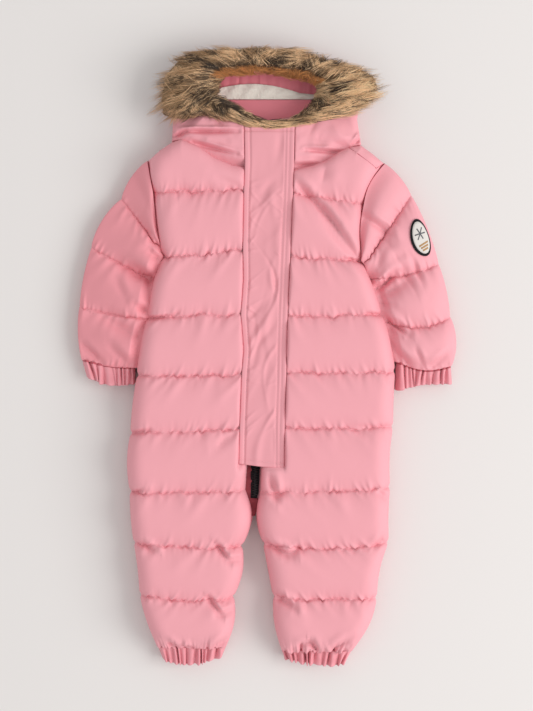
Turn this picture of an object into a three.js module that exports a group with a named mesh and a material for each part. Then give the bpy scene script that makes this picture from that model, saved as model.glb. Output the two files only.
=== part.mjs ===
import * as THREE from 'three';

// Baby snowsuit laid flat on its back, millimetres, +Z up, head end towards +Y
// right and left are the wearer's: right is the -X side

// Driving sizes
const MEET = 20; // height where the back layer ends and the front layer starts
const GAP = 0.4; // space between two pieces at a seam
const SEAM = 3; // thickness of a padded piece where it is sewn
const BODY_CROWN = 46; // highest point of a padded row on the body
const LEG_CROWN = 42; // the same on the legs
const QUILT_DIP = 10; // depth of a stitched line below the crown
const SIDE_ROUND = 34; // distance over which a front panel rounds down to its side
const BACK_ROUND = 25; // distance over which a back panel rounds up to its side
const BACK_EDGE = 17; // height of the back panel's underside at its side
const SEAM_Z = 17; // height of a sleeve's two edges
const SLEEVE_CROWN = 44;
const SLEEVE_SLOT = 1; // space left inside the flattened sleeve
const FLAP_LOW = 38.4; // underside of the storm flap
const FLAP_THICK = 2.5;
const UNDER_FLAP = 36; // padding pressed down by the flap
const FLAP_PRESS = 30; // distance over which it springs back beside the flap
const FUR_LOW = 35.2; // underside of the fur ring
const CUFF_WALL = 5;
const CENTRE_BACK = -12.6; // x of the centre-back seam

// Small helpers
const lerp = (a, b, t) => a + (b - a) * t;
const limit = (t) => Math.max(0, Math.min(1, t));
const ease = (t) => limit(t) ** 2 * (3 - 2 * limit(t));
const round = (d, reach) => Math.sqrt(1 - (1 - limit(d / reach)) ** 2);
const puff = (t) => (1 - Math.abs(2 * t - 1) ** 2.4) ** 0.62;
const mix = (p, q, t) => p.map((value, i) => lerp(value, q[i], t));

// Rows of numbers under named columns
function table(columns, ...rows) {
  return rows.map((row) => Object.fromEntries(columns.map((name, i) => [name, row[i]])));
}

// Value of one column at y in a table sorted from high y to low y
function along(rows, name, y) {
  let k = 0;
  while (k < rows.length - 2 && y < rows[k + 1].y) k += 1;
  return lerp(rows[k][name], rows[k + 1][name], limit((rows[k].y - y) / (rows[k].y - rows[k + 1].y)));
}

// Point at a share of the length of a line through points
function onLine(points, share) {
  const steps = points.slice(1).map((p, i) => Math.hypot(p[0] - points[i][0], p[1] - points[i][1]));
  let rest = limit(share) * steps.reduce((sum, step) => sum + step, 0);
  let k = 0;
  while (k < steps.length - 1 && rest > steps[k]) {
    rest -= steps[k];
    k += 1;
  }
  return mix(points[k], points[k + 1], limit(rest / steps[k]));
}

// Shared colours and materials
const cloth = (colour, roughness = 0.6) => new THREE.MeshStandardMaterial({ color: colour, roughness });
const shellFabric = () => cloth(0xeeb0b8, 0.55);
const sleeveFabric = () => cloth(0xecabb4, 0.55);
const flapFabric = () => cloth(0xe8a6ae, 0.6);
const cuffFabric = () => cloth(0xe8a3ac, 0.6);
const liningFabric = () => cloth(0xc97884, 0.7);
const fleeceFabric = () => cloth(0xd8cbc2, 0.95);
const furPile = () => cloth(0xa08468, 1);
const zipTape = () => cloth(0x17161a, 0.5);
const badgeThread = () => cloth(0xe6e1d8, 0.8);
const sliderMetal = () => new THREE.MeshStandardMaterial({ color: 0x8d8f94, roughness: 0.35, metalness: 0.9 });

// Closed mesh from points and faces, turned so that it faces out
function solid(name, material, points, faces) {
  const a = new THREE.Vector3();
  const b = new THREE.Vector3();
  const c = new THREE.Vector3();
  let volume = 0;
  for (const [i, j, k] of faces) {
    volume += a.set(...points[i]).dot(b.set(...points[j]).cross(c.set(...points[k])));
  }
  const turned = volume < 0 ? faces.map(([i, j, k]) => [i, k, j]) : faces;
  const geometry = new THREE.BufferGeometry();
  geometry.setAttribute('position', new THREE.Float32BufferAttribute(points.flat(), 3));
  geometry.setIndex(turned.flat());
  geometry.computeVertexNormals();
  const mesh = new THREE.Mesh(geometry, material);
  mesh.name = name;
  return mesh;
}

// Two grids of points, upper and lower, joined round their rim
function wall(name, material, upper, lower) {
  const rows = upper.length;
  const cols = upper[0].length;
  const points = [...upper.flat(), ...lower.flat()];
  const at = (r, c, low) => low * rows * cols + r * cols + c;
  const faces = [];
  const quad = (a, b, c, d) => faces.push([a, b, c], [a, c, d]);
  for (let r = 0; r < rows - 1; r += 1) {
    for (let c = 0; c < cols - 1; c += 1) {
      quad(at(r, c, 0), at(r, c + 1, 0), at(r + 1, c + 1, 0), at(r + 1, c, 0));
      quad(at(r, c, 1), at(r + 1, c, 1), at(r + 1, c + 1, 1), at(r, c + 1, 1));
    }
    quad(at(r, 0, 0), at(r + 1, 0, 0), at(r + 1, 0, 1), at(r, 0, 1));
    quad(at(r, cols - 1, 0), at(r, cols - 1, 1), at(r + 1, cols - 1, 1), at(r + 1, cols - 1, 0));
  }
  for (let c = 0; c < cols - 1; c += 1) {
    quad(at(0, c, 0), at(0, c, 1), at(0, c + 1, 1), at(0, c + 1, 0));
    quad(at(rows - 1, c, 0), at(rows - 1, c + 1, 0), at(rows - 1, c + 1, 1), at(rows - 1, c, 1));
  }
  return solid(name, material, points, faces);
}

// One layer: plan gives x and y, low and high give the heights of its two sides
function layer(name, material, plan, low, high, us, vs) {
  const grid = (height) => vs.map((v) => us.map((u) => [...plan(u, v), height(u, v, ...plan(u, v))]));
  return wall(name, material, grid(high), grid(low));
}

// Open tube from outer and inner rings of points
function tube(name, material, outer, inner) {
  const rows = outer.length;
  const count = outer[0].length;
  const points = [...outer.flat(), ...inner.flat()];
  const at = (r, i, side) => side * rows * count + r * count + (i % count);
  const faces = [];
  const quad = (a, b, c, d) => faces.push([a, b, c], [a, c, d]);
  for (let i = 0; i < count; i += 1) {
    for (let r = 0; r < rows - 1; r += 1) {
      quad(at(r, i, 0), at(r + 1, i, 0), at(r + 1, i + 1, 0), at(r, i + 1, 0));
      quad(at(r, i, 1), at(r, i + 1, 1), at(r + 1, i + 1, 1), at(r + 1, i, 1));
    }
    quad(at(0, i, 0), at(0, i + 1, 0), at(0, i + 1, 1), at(0, i, 1));
    quad(at(rows - 1, i, 0), at(rows - 1, i, 1), at(rows - 1, i + 1, 1), at(rows - 1, i + 1, 0));
  }
  return solid(name, material, points, faces);
}

// Where the rows and columns of a panel are sampled
const samples = (count, shares) => [...Array(count).keys()].flatMap((k) => shares.map((t) => k + t)).concat(count);
const NECK_U = 0.8; // column where the neck edge ends and the shoulder starts
const NECK_US = [0, 0.05, 0.14, 0.28, 0.46, 0.64, NECK_U];
const FRONT_US = [...NECK_US, 0.9, 0.96, 1];
const BACK_US = [0, 0.12, 0.32, 0.56, NECK_U, 0.9, 1];
const BAFFLES = 9;
const FRONT_VS = samples(BAFFLES, [0, 0.14, 0.5, 0.86]);
const ARM_ROWS = FRONT_VS.filter((v) => v < 3);
const BACK_VS = [...ARM_ROWS, ...samples(BAFFLES, [0, 0.14, 0.86]).filter((v) => v >= 3)];

// Neck edges, from the middle to the neck point, and shoulder edges from there to the shoulder tip
const NECK = {
  right: [[-20.4, 225.6], [-43.2, 230.4], [-63.6, 239.4], [-80.9, 251.8], [-102, 260.4], [-114, 257.4]],
  left: [[-4.8, 222.6], [33.6, 224.4], [54.5, 229], [70.1, 234.8], [85.8, 245.4], [96.8, 250.4], [112.8, 253.8]],
};
const BACK_NECK = {
  right: [[-12.8, 249], [-60, 250.4], [-96, 254], [-114, 257.4]],
  left: [[-12.4, 249], [40, 249.4], [92, 251], [112.8, 253.8]],
};
const SHOULDER = {
  right: [[-114, 257.4], [-128.4, 247.8], [-142.4, 235.2]],
  left: [[112.8, 253.8], [126, 244.2], [140.4, 232.2]],
};

// Stitched lines of each front, L1 to the cuff: ends, sag in the middle, bulge of the row above each end
const LINES = ['zipX', 'zipY', 'sideX', 'sideY', 'sag', 'zipBulge', 'sideBulge'];
const FRONT = {
  right: table(
    LINES,
    [-20.4, 201, -135.2, 197.4, 1, 0, 0],
    [-20.4, 130.8, -126.6, 120.6, 2, 0, 0],
    [-20.4, 53.4, -144.6, 48, 1, 0, -2.4],
    [-20.4, -18.6, -156, -21, 1, 0, -2.4],
    [-20.4, -83.4, -164, -90.6, 1, 0, -1.2],
    [-22.2, -158.4, -164.6, -160.2, 1, 0, -3.6],
    [-29.4, -225.6, -160, -221.4, 2, 11, -1.2],
    [-39.4, -286.2, -152.8, -283.8, 5, 5.4, 1.2],
    [-49.2, -346.8, -131.4, -346.8, 0, 5.4, -2.4],
  ),
  left: table(
    LINES,
    [-4.8, 203.4, 114.6, 183, 1, 0, -5.5],
    [-4.8, 127.8, 114.4, 115.8, 2, 0, -4.3],
    [-4.8, 50.4, 138.8, 52.2, 1, 0, 1.2],
    [-4.8, -18, 153.6, -16.2, 1, 0, 2.4],
    [-4.8, -84, 151.2, -82.2, 1, 0, -0.6],
    [-8.4, -161.4, 147.6, -154.8, 1, 0, -2.4],
    [-5, -222.6, 146, -220.8, 6, -6, -1.2],
    [7.2, -286.2, 131.8, -287.4, 2, 0, -3.6],
    [17.4, -350.4, 102, -351.6, 0, -3.6, 6],
  ),
};

// Point in plan on a stitched line, then on a panel at any height between two lines
function linePoint(side, line, u, back) {
  if (line === 0 && u > NECK_U) return onLine(SHOULDER[side], (u - NECK_U) / (1 - NECK_U));
  if (line === 0) return onLine(back ? BACK_NECK[side] : NECK[side], u / NECK_U);
  const row = FRONT[side][line - 1];
  const middle = CENTRE_BACK + (side === 'right' ? -0.2 : 0.2);
  const zipX = back && line < 7 ? middle : row.zipX;
  return [lerp(zipX, row.sideX, u), lerp(row.zipY, row.sideY, u) - row.sag * Math.sin(Math.PI * u)];
}
function panelPoint(side, u, v, back = false) {
  const k = Math.min(BAFFLES - 1, Math.floor(v));
  const t = v - k;
  const row = FRONT[side][k];
  const crotch = back && k === 6;
  const [above, below] = [linePoint(side, k, u, back), linePoint(side, k + 1, u, back)];
  const [x, y] = mix(above, below, t);
  const inner = crotch ? (below[0] - above[0]) * (t * t - t) : row.zipBulge * Math.sin(Math.PI * t);
  return [x + inner * (1 - u) ** 3 + row.sideBulge * Math.sin(Math.PI * t) * u ** 3, y];
}

// x of a panel's side edge at a given y
function sideAt(side, y) {
  let high = 0;
  let low = BAFFLES;
  for (let i = 0; i < 24; i += 1) {
    const middle = (high + low) / 2;
    if (panelPoint(side, 1, middle)[1] > y) high = middle;
    else low = middle;
  }
  return panelPoint(side, 1, high)[0];
}

// Left and right edges of the storm flap
const FLAP = table(
  ['y', 'left', 'right'],
  [275.6, -27, 33],
  [231, -26.4, 32],
  [189, -28, 30.7],
  [134, -28.8, 28.2],
  [93, -28.2, 26.4],
  [51, -31.2, 24.5],
  [9, -27.9, 23.4],
  [-27, -30.6, 22.8],
  [-81, -32.6, 21],
  [-126.6, -33.8, 21],
);
const FLAP_END = -131;

// Most height that the padding has under and beside the flap
function pressed(x, y) {
  const beside = Math.max(along(FLAP, 'left', y) - x, x - along(FLAP, 'right', y), FLAP_END - y);
  return UNDER_FLAP + 12 * round(beside - 9, FLAP_PRESS);
}

// Largest folds of the fronts and hood: a groove from one point to another
const FOLDS = table(
  ['x0', 'y0', 'x1', 'y1', 'deep', 'wide'],
  [32.4, 211.8, 74, 166.6, 6, 7],
  [74, 166.6, 110, 116, 7, 7],
  [64.4, 163.8, 100.3, 121, 4, 5],
  [69.6, 227.4, 66, 208.2, 4, 9],
  [-144, 47.4, -110.4, 49.8, 5, 7],
  [-164.4, -94, -140.4, -87, 5, 7],
  [-156, -154, -146.4, -159, 4, 7],
  [-60, -228.6, -37.2, -246.6, 6, 7],
  [-64.8, -291, -46.8, -309, 6, 7],
  [15.6, -225, 28.8, -233.4, 4, 6],
  [7.2, -281.4, 27.6, -291, 4, 6],
  [-112, 196.4, -70, 196, 3, 9],
  [-66, 216, -30, 204, 2, 8],
);
function folds(x, y) {
  let depth = 0;
  for (const { x0, y0, x1, y1, deep, wide } of FOLDS) {
    const length = (x1 - x0) ** 2 + (y1 - y0) ** 2;
    const t = limit(((x - x0) * (x1 - x0) + (y - y0) * (y1 - y0)) / length);
    const far = Math.hypot(x - lerp(x0, x1, t), y - lerp(y0, y1, t));
    depth += deep * Math.exp(-((far / wide) ** 2));
  }
  return depth;
}

// Share of the full height near an edge that stands at a given height
const edgeShare = (edge, crown, d, reach) => {
  const low = (edge - MEET - GAP) / (crown - MEET - GAP);
  return low + (1 - low) * round(d, reach);
};

// Outer height of a quilted front panel
function frontHeight(side, u, v, x, y) {
  const crown = lerp(BODY_CROWN, LEG_CROWN, limit((v - 6) / 1.5));
  const zipEnd = panelPoint(side, 0, v);
  const sideEnd = panelPoint(side, 1, v);
  const top = panelPoint(side, u, 0);
  const foot = panelPoint(side, u, BAFFLES);
  const free = MEET + GAP + SEAM;
  const armhole = lerp(24, 34, ease(v / 0.5));
  const sideEdge = lerp(armhole, free, ease((v - 1.6) / 0.6));
  const zipEdge = lerp(29, free, ease((v - 5.4) / 1.4));
  const neckEdge = lerp(34, 24, ease((u - NECK_U + 0.1) / 0.14));
  const shares = [
    edgeShare(sideEdge, crown, Math.hypot(x - sideEnd[0], y - sideEnd[1]), lerp(20, SIDE_ROUND, ease(v - 1))),
    edgeShare(zipEdge, crown, Math.hypot(x - zipEnd[0], y - zipEnd[1]), lerp(14, 30, ease(v - 5.6))),
    edgeShare(neckEdge, crown, Math.hypot(x - top[0], y - top[1]), 26),
    edgeShare(25, crown, Math.hypot(x - foot[0], y - foot[1]), 18),
  ];
  const base = MEET + GAP + (crown - MEET - GAP) * shares.reduce((all, share) => all * share, 1);
  const dip = v < 0.5 ? 0 : QUILT_DIP * (1 - puff(v % 1)) * limit((base - free) / 14);
  return Math.max(free, Math.min(base - dip - folds(x, y), pressed(x, y)));
}

function frontPanel(side) {
  const plan = (u, v) => panelPoint(side, u, v);
  const low = () => MEET + GAP;
  const high = (u, v, x, y) => frontHeight(side, u, v, x, y);
  return layer(`${side}_front`, shellFabric(), plan, low, high, FRONT_US, FRONT_VS);
}

// Underside of a back panel: flat where it rests, rounded up at the free edges, lightly grooved at each line
function backHeight(side, u, v, x, y) {
  const sideEnd = panelPoint(side, 1, v, true);
  const innerEnd = panelPoint(side, 0, v, true);
  const top = panelPoint(side, u, 0, true);
  const toSide = 1 - round(Math.hypot(x - sideEnd[0], y - sideEnd[1]), BACK_ROUND);
  const toInner = 1 - round(Math.hypot(x - innerEnd[0], y - innerEnd[1]), BACK_ROUND);
  const toShoulder = 1 - round(Math.hypot(x - top[0], y - top[1]), BACK_ROUND);
  const lift = Math.max(
    toSide * ease((v - 1.7) / 0.5),
    toInner * ease((v - 6.3) / 0.5),
    toShoulder * ease((u - NECK_U + 0.05) / 0.14),
  );
  const groove = v > 0 && v < BAFFLES && v % 1 === 0 ? 2.5 : 0;
  return Math.min(BACK_EDGE, BACK_EDGE * lift + groove);
}

function backPanel(side) {
  const plan = (u, v) => panelPoint(side, u, v, true);
  const low = (u, v, x, y) => backHeight(side, u, v, x, y);
  return layer(`${side}_back`, shellFabric(), plan, low, () => MEET, BACK_US, BACK_VS);
}

// Stitched rings of each sleeve below the armhole: inner end, outer end, sag, bulge of the row above
const RINGS = ['innerY', 'outerX', 'outerY', 'bow', 'bulge'];
const SLEEVE = {
  right: table(
    RINGS,
    [132.6, -174.6, 190.2, 0, 5],
    [94.2, -210.6, 132.6, 2, 6],
    [46.8, -225, 61.2, 2, 2],
    [-12.6, -222.4, -3, 3, 3],
  ),
  left: table(
    RINGS,
    [112.2, 172.8, 195, 0, 3],
    [94.2, 205.8, 112.2, 4, 3],
    [43.8, 219.6, 48.6, 10, 2],
    [-4.2, 221.4, -10.2, 8, 6],
  ),
};
const SLEEVE_GAP = 1.5; // space between the sleeve and the body beside it
const SLEEVE_ROWS = 4;
const SLEEVE_VS = samples(SLEEVE_ROWS, [0, 0.14, 0.5, 0.86]);
const TOP_ANGLES = [0, 0.1, 0.2, 0.32, 0.44, 0.56, 0.68, 0.8, 0.9];
const LOW_ANGLES = [1, 1.12, 1.3, 1.5, 1.7, 1.88];
const SLEEVE_ANGLES = [...TOP_ANGLES, ...LOW_ANGLES].map((share) => share * Math.PI);
const outward = (side) => (side === 'right' ? -1 : 1);

// Where the armhole ends on the body's side edge, in rows below the shoulder
const ARMHOLE_END = { right: 1.74, left: 1.9 };

// Point in plan on a ring of the sleeve, s from its inner end to its outer end
function ringPoint(side, ring, s) {
  const way = outward(side);
  if (ring === 0) {
    const [x, y] = panelPoint(side, 1, lerp(ARMHOLE_END[side], 0, s));
    return [x + way * 0.9, y + 0.3];
  }
  const row = SLEEVE[side][ring - 1];
  const inner = sideAt(side, row.innerY) + way * SLEEVE_GAP;
  return [lerp(inner, row.outerX, s), lerp(row.innerY, row.outerY, s) - row.bow * Math.sin(Math.PI * s)];
}

// Point in plan between two rings: its inner edge keeps beside the body, its outer edge swells
function sleevePoint(side, s, v) {
  const way = outward(side);
  const k = Math.min(SLEEVE_ROWS - 1, Math.floor(v));
  const t = v - k;
  const [x, y] = mix(ringPoint(side, k, s), ringPoint(side, k + 1, s), t);
  const chord = mix(ringPoint(side, k, 0), ringPoint(side, k + 1, 0), t);
  const beside = (sideAt(side, chord[1]) + way * SLEEVE_GAP - chord[0]) * (1 - s) ** 2;
  const [a, b] = [ringPoint(side, k, 1), ringPoint(side, k + 1, 1)];
  const length = Math.hypot(b[0] - a[0], b[1] - a[1]);
  const swell = (SLEEVE[side][k].bulge * Math.sin(Math.PI * t) * s ** 3 * way) / length;
  return [x + beside - (b[1] - a[1]) * swell, y + (b[0] - a[0]) * swell];
}

// Outer height of a sleeve round its ring: angle 0 to pi is the top, pi to 2 pi the underside
function sleeveHeight(side, angle, v) {
  const s = (1 - Math.cos(angle)) / 2;
  const ends = [sleevePoint(side, 0, v), sleevePoint(side, 1, v)];
  const width = Math.hypot(ends[1][0] - ends[0][0], ends[1][1] - ends[0][1]);
  if (angle > Math.PI) return SEAM_Z * (1 - round(Math.min(s, 1 - s) * width, 22));
  const grow = ease(v / 0.45);
  const crown = Math.min(lerp(35, SLEEVE_CROWN, grow), lerp(27, SLEEVE_CROWN, ease((4 - v) / 0.4)));
  const arch = Math.sin(angle) ** lerp(0.55, 0.8, grow);
  const dip = v < 0.5 ? 0 : QUILT_DIP * (1 - puff(v % 1)) * (v > 3.5 ? 0.3 : 1);
  return SEAM_Z + (crown - SEAM_Z - dip) * arch;
}

// Rings of points of a flattened tube, its inside one thin slot
function sleeve(side) {
  const outer = SLEEVE_VS.map((v) => SLEEVE_ANGLES.map((angle) => {
    const s = (1 - Math.cos(angle)) / 2;
    return [...sleevePoint(side, s, v), sleeveHeight(side, angle, v)];
  }));
  const inner = SLEEVE_VS.map((v) => SLEEVE_ANGLES.map((angle) => {
    const s = lerp(0.045, 0.955, (1 - Math.cos(angle)) / 2);
    const z = SEAM_Z + SLEEVE_SLOT / 2 + (Math.sign(Math.sin(angle) + 1e-9) * SLEEVE_SLOT) / 2;
    const end = Math.abs(Math.sin(angle)) < 0.01;
    return [...sleevePoint(side, s, v), end ? SEAM_Z + SLEEVE_SLOT / 2 : z];
  }));
  return tube(`${side}_sleeve`, sleeveFabric(), outer, inner);
}

// Cuffs: corners of the sewn edge and of the hem, seen from above, and how many gathers show
const CUFFS = table(
  ['name', 'x0', 'y0', 'x1', 'y1', 'topBow', 'hemX0', 'hemY0', 'hemX1', 'hemY1', 'bow', 'gathers', 'high'],
  ['right_sleeve_cuff', -222.4, -3.5, -158.6, -13.1, 3, -217.4, -23.4, -158.4, -31, 6, 11, 21],
  ['left_sleeve_cuff', 155, -5.6, 221.4, -11.6, 8, 154, -40.2, 222.8, -31.8, -3, 11, 21],
  ['right_leg_cuff', -131.4, -347.4, -49.2, -347.4, 0, -126, -363, -53.4, -358.4, 7.5, 13, 22],
  ['left_leg_cuff', 17.4, -351, 102, -352.2, 0, 20.4, -361.5, 94.4, -367.5, 4, 13, 22],
);
const CUFF_RINGS = [0, 0.3, 0.7, 1];
const CUFF_UNDER = [1, 0.985, 0.9, 0.7, 0.5, 0.3, 0.1, 0.015];

// Gathered cuff: a flattened tube whose upper side goes up and down at every gather
function cuff(row) {
  const across = row.gathers * 2;
  const upper = [...Array(across + 1).keys()].map((i) => ({ s: i / across, up: 1, wave: i % 2 ? 1 : -1 }));
  const under = CUFF_UNDER.slice(1).map((s) => ({ s, up: 0, wave: 0 }));
  const around = [...upper, ...under.slice(0, -1)];
  const width = Math.hypot(row.x1 - row.x0, row.y1 - row.y0);
  const place = (s, t) => {
    const start = [lerp(row.x0, row.x1, s), lerp(row.y0, row.y1, s) - row.topBow * Math.sin(Math.PI * s)];
    const hem = [lerp(row.hemX0, row.hemX1, s), lerp(row.hemY0, row.hemY1, s) - row.bow * Math.sin(Math.PI * s)];
    return mix(start, hem, t);
  };
  const outer = CUFF_RINGS.map((t) => around.map(({ s, up, wave }) => {
    const near = Math.min(s, 1 - s) * width;
    const belly = 1 - 0.12 * Math.sin(Math.PI * t);
    const fold = wave * lerp(1, 2.2, t) * Math.min(1, near / 6);
    const high = row.high / 2 + (row.high / 2 - 2) * round(near, 12) * belly + fold;
    const low = (row.high / 2 - 1.5) * (1 - round(near, 9));
    return [...place(s, t), up ? high : low];
  }));
  const inner = CUFF_RINGS.map((t) => around.map(({ s, up }) => {
    const held = lerp(CUFF_WALL / width, 1 - CUFF_WALL / width, s);
    return [...place(held, t), row.high / 2 + (up ? 0.5 : -0.5)];
  }));
  return tube(row.name, cuffFabric(), outer, inner);
}

// Storm flap: nearly flat, with a soft wave along its length
function stormFlap() {
  const vs = [...Array(19).keys()].map((i) => i / 18);
  const us = [0, 0.1, 0.35, 0.65, 0.9, 1];
  const plan = (u, v) => {
    const y = lerp(FLAP[0].y, lerp(FLAP_END + 4.4, FLAP_END - 2.2, u), v);
    return [lerp(along(FLAP, 'left', y), along(FLAP, 'right', y), u), y];
  };
  const wave = (u, v) => 0.7 * Math.sin(v * 40 + u * 3) * Math.sin(Math.PI * u) + 0.5 * Math.sin(v * 17 + 1);
  const low = (u, v) => FLAP_LOW + 0.9 + wave(u, v) - 0.6 * Math.cos(Math.PI * u) * 0.4;
  const high = (u, v) => low(u, v) + FLAP_THICK;
  return layer('storm_flap', flapFabric(), plan, low, high, us, vs);
}

// Zip: two tapes and the closed coil as one strip, from the crotch up between the hood sides
const ZIP_END = -168.6;
const ZIP_TOP = 272;
const HOOD_SLOT = { right: [-8.4, 283], left: [7.8, 283] };
function zipEdge(side, y) {
  const start = NECK[side][0];
  if (y > start[1]) return lerp(start[0], HOOD_SLOT[side][0], (y - start[1]) / (HOOD_SLOT[side][1] - start[1]));
  let high = 0;
  let low = BAFFLES;
  for (let i = 0; i < 24; i += 1) {
    const middle = (high + low) / 2;
    if (panelPoint(side, 0, middle)[1] > y) high = middle;
    else low = middle;
  }
  return panelPoint(side, 0, high)[0];
}
function zip() {
  const below = [...Array(14).keys()].map((i) => lerp(201, ZIP_END, i / 13));
  const ys = [ZIP_TOP, 250, 226, 222, ...below];
  const us = [0, 0.3, 0.34, 0.5, 0.66, 0.7, 1];
  const plan = (u, y) => {
    const inset = y < -120 ? 1.6 : 0.6;
    return [lerp(zipEdge('right', y) + inset, zipEdge('left', y) - inset, u), y];
  };
  const high = (u) => (u > 0.32 && u < 0.68 ? 25.6 : 22.6) + (u === 0.5 ? 0.4 : 0);
  return layer('zip', zipTape(), plan, () => MEET + 0.9, high, us, ys);
}

// Zip slider: body and pull in one outline, lying on the coil under the flap
function zipSlider() {
  const shape = new THREE.Shape();
  shape.moveTo(-3, 0);
  shape.lineTo(3, 0);
  shape.quadraticCurveTo(4.6, 5, 3.6, 9.5);
  shape.lineTo(1.4, 10.5);
  shape.lineTo(1.9, 21);
  shape.quadraticCurveTo(2.6, 25.4, 0, 26);
  shape.quadraticCurveTo(-2.6, 25.4, -1.9, 21);
  shape.lineTo(-1.4, 10.5);
  shape.lineTo(-3.6, 9.5);
  shape.quadraticCurveTo(-4.6, 5, -3, 0);
  const geometry = new THREE.ExtrudeGeometry(shape, { depth: 2.6, bevelEnabled: false, curveSegments: 4 });
  geometry.rotateZ(Math.PI);
  geometry.translate((zipEdge('right', 262) + zipEdge('left', 262)) / 2, 266, 26.6);
  const mesh = new THREE.Mesh(geometry, sliderMetal());
  mesh.name = 'zip_slider';
  return mesh;
}

// Hood: rim from the neck point round to the top, and the edge of its mouth under the fur
const HOOD_RIM = {
  right: [[-114, 258.2], [-112.4, 285], [-111.6, 309], [-106.8, 333], [-86.4, 349.8], [-62.4, 359.4], [-2.7, 361.8]],
  left: [[112.8, 254.6], [108, 285], [111.6, 309], [102, 333], [79, 348], [54, 357], [-2.1, 361]],
};
const MOUTH = {
  right: [HOOD_SLOT.right, [-22, 291], [-42, 303], [-53, 314], [-58, 325], [-53, 334], [-34, 340], [-2.7, 341]],
  left: [HOOD_SLOT.left, [26, 292], [40, 303], [50, 314], [58, 323], [54, 331], [34, 338], [-2.1, 341]],
};
const HOOD_CROWN = 42;
const NECK_V = 0.4; // share of a hood side's length that is sewn to the neck
const HOOD_VS = [...NECK_US.map((u) => (u / NECK_U) * NECK_V), 0.47, 0.54, 0.62, 0.7, 0.78, 0.86, 0.93, 1];
const HOOD_US = [0, 0.1, 0.22, 0.38, 0.55, 0.75, 1];
function hoodOut(side, v) {
  if (v > NECK_V) return onLine(HOOD_RIM[side], (v - NECK_V) / (1 - NECK_V));
  const [x, y] = onLine(NECK[side], v / NECK_V);
  return [x, y + 0.6];
}
const HOOD_FOLDS = table(
  ['side', 'x0', 'y0', 'x1', 'y1', 'deep', 'wide'],
  ['right', -90, 269.4, -28.8, 268.2, 5, 4],
  ['right', -76.8, 252.6, -32.4, 237, 4, 4],
  ['left', 51.6, 239.4, 75.6, 245.4, 4, 4],
  ['left', 33.6, 229.8, 54, 229.8, 3, 4],
);
function hoodHeight(side, u, v, x, y) {
  const out = hoodOut(side, v);
  const d = Math.hypot(x - out[0], y - out[1]);
  const neck = 1 - ease((v - NECK_V + 0.06) / 0.09);
  const edge = lerp(MEET + GAP + SEAM, 33, neck);
  const plain = FUR_LOW - 1.4;
  const shown = lerp(0.66, 0.28, limit(v / NECK_V));
  const swell = neck * (HOOD_CROWN - plain) * Math.sin(Math.PI * limit(u / shown)) ** 0.8;
  let depth = 0;
  for (const fold of HOOD_FOLDS.filter((row) => row.side === side)) {
    const length = (fold.x1 - fold.x0) ** 2 + (fold.y1 - fold.y0) ** 2;
    const t = limit(((x - fold.x0) * (fold.x1 - fold.x0) + (y - fold.y0) * (fold.y1 - fold.y0)) / length);
    const far = Math.hypot(x - lerp(fold.x0, fold.x1, t), y - lerp(fold.y0, fold.y1, t));
    depth += fold.deep * Math.exp(-((far / fold.wide) ** 2));
  }
  const slot = edgeShare(29, HOOD_CROWN, v * 260, 14);
  const base = lerp(edge, plain, round(d, 22)) + swell - depth;
  return Math.max(MEET + GAP + SEAM, Math.min(MEET + GAP + (base - MEET - GAP) * slot, pressed(x, y)));
}
function hoodSide(side) {
  const plan = (u, v) => mix(hoodOut(side, v), onLine(MOUTH[side], v ** 0.9), u);
  const low = () => MEET + GAP;
  const high = (u, v, x, y) => hoodHeight(side, u, v, x, y);
  return layer(`hood_${side}`, shellFabric(), plan, low, high, HOOD_US, HOOD_VS);
}

// Back of the hood: padded, flat underside, hollowed where the linings lie in the mouth
const HOOD_BACK = table(
  ['y', 'left', 'right'],
  [360, -58, 46],
  [348, -86.4, 79],
  [333, -106.8, 102],
  [309, -111.6, 111.6],
  [285, -111.9, 107.6],
  [258.4, -113.4, 109.4],
  [249.6, -60, 50],
);
const DISH = { x0: -80, x1: 82, y0: 256, y1: 352, slope: 8, floor: 8.8 };
function hoodBack() {
  const vs = [0, 0.05, 0.12, 0.22, 0.34, 0.46, 0.58, 0.7, 0.82, 0.92, 1];
  const us = [0, 0.06, 0.13, 0.2, 0.27, 0.5, 0.73, 0.8, 0.87, 0.94, 1];
  const neck = [...BACK_NECK.right.slice().reverse(), ...BACK_NECK.left];
  const bottom = (u) => onLine(neck, u)[1] + 0.7;
  const plan = (u, v) => {
    const y = lerp(361, bottom(u), v);
    const edge = Math.max(y, 258.4);
    return [lerp(along(HOOD_BACK, 'left', edge), along(HOOD_BACK, 'right', edge), u), y];
  };
  const low = (u, v, x, y) => {
    const side = Math.min(x - along(HOOD_BACK, 'left', Math.max(y, 258.4)), along(HOOD_BACK, 'right', Math.max(y, 258.4)) - x);
    return BACK_EDGE * Math.max(1 - round(side, BACK_ROUND), 1 - round(361 - y, BACK_ROUND));
  };
  const high = (u, v, x, y) => {
    const inside = Math.min(x - DISH.x0, DISH.x1 - x, y - DISH.y0, DISH.y1 - y);
    return Math.max(lerp(MEET, DISH.floor, ease(inside / DISH.slope + 1)), low(u, v, x, y) + 2.5);
  };
  return layer('hood_back', shellFabric(), plan, low, high, us, vs);
}

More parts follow.
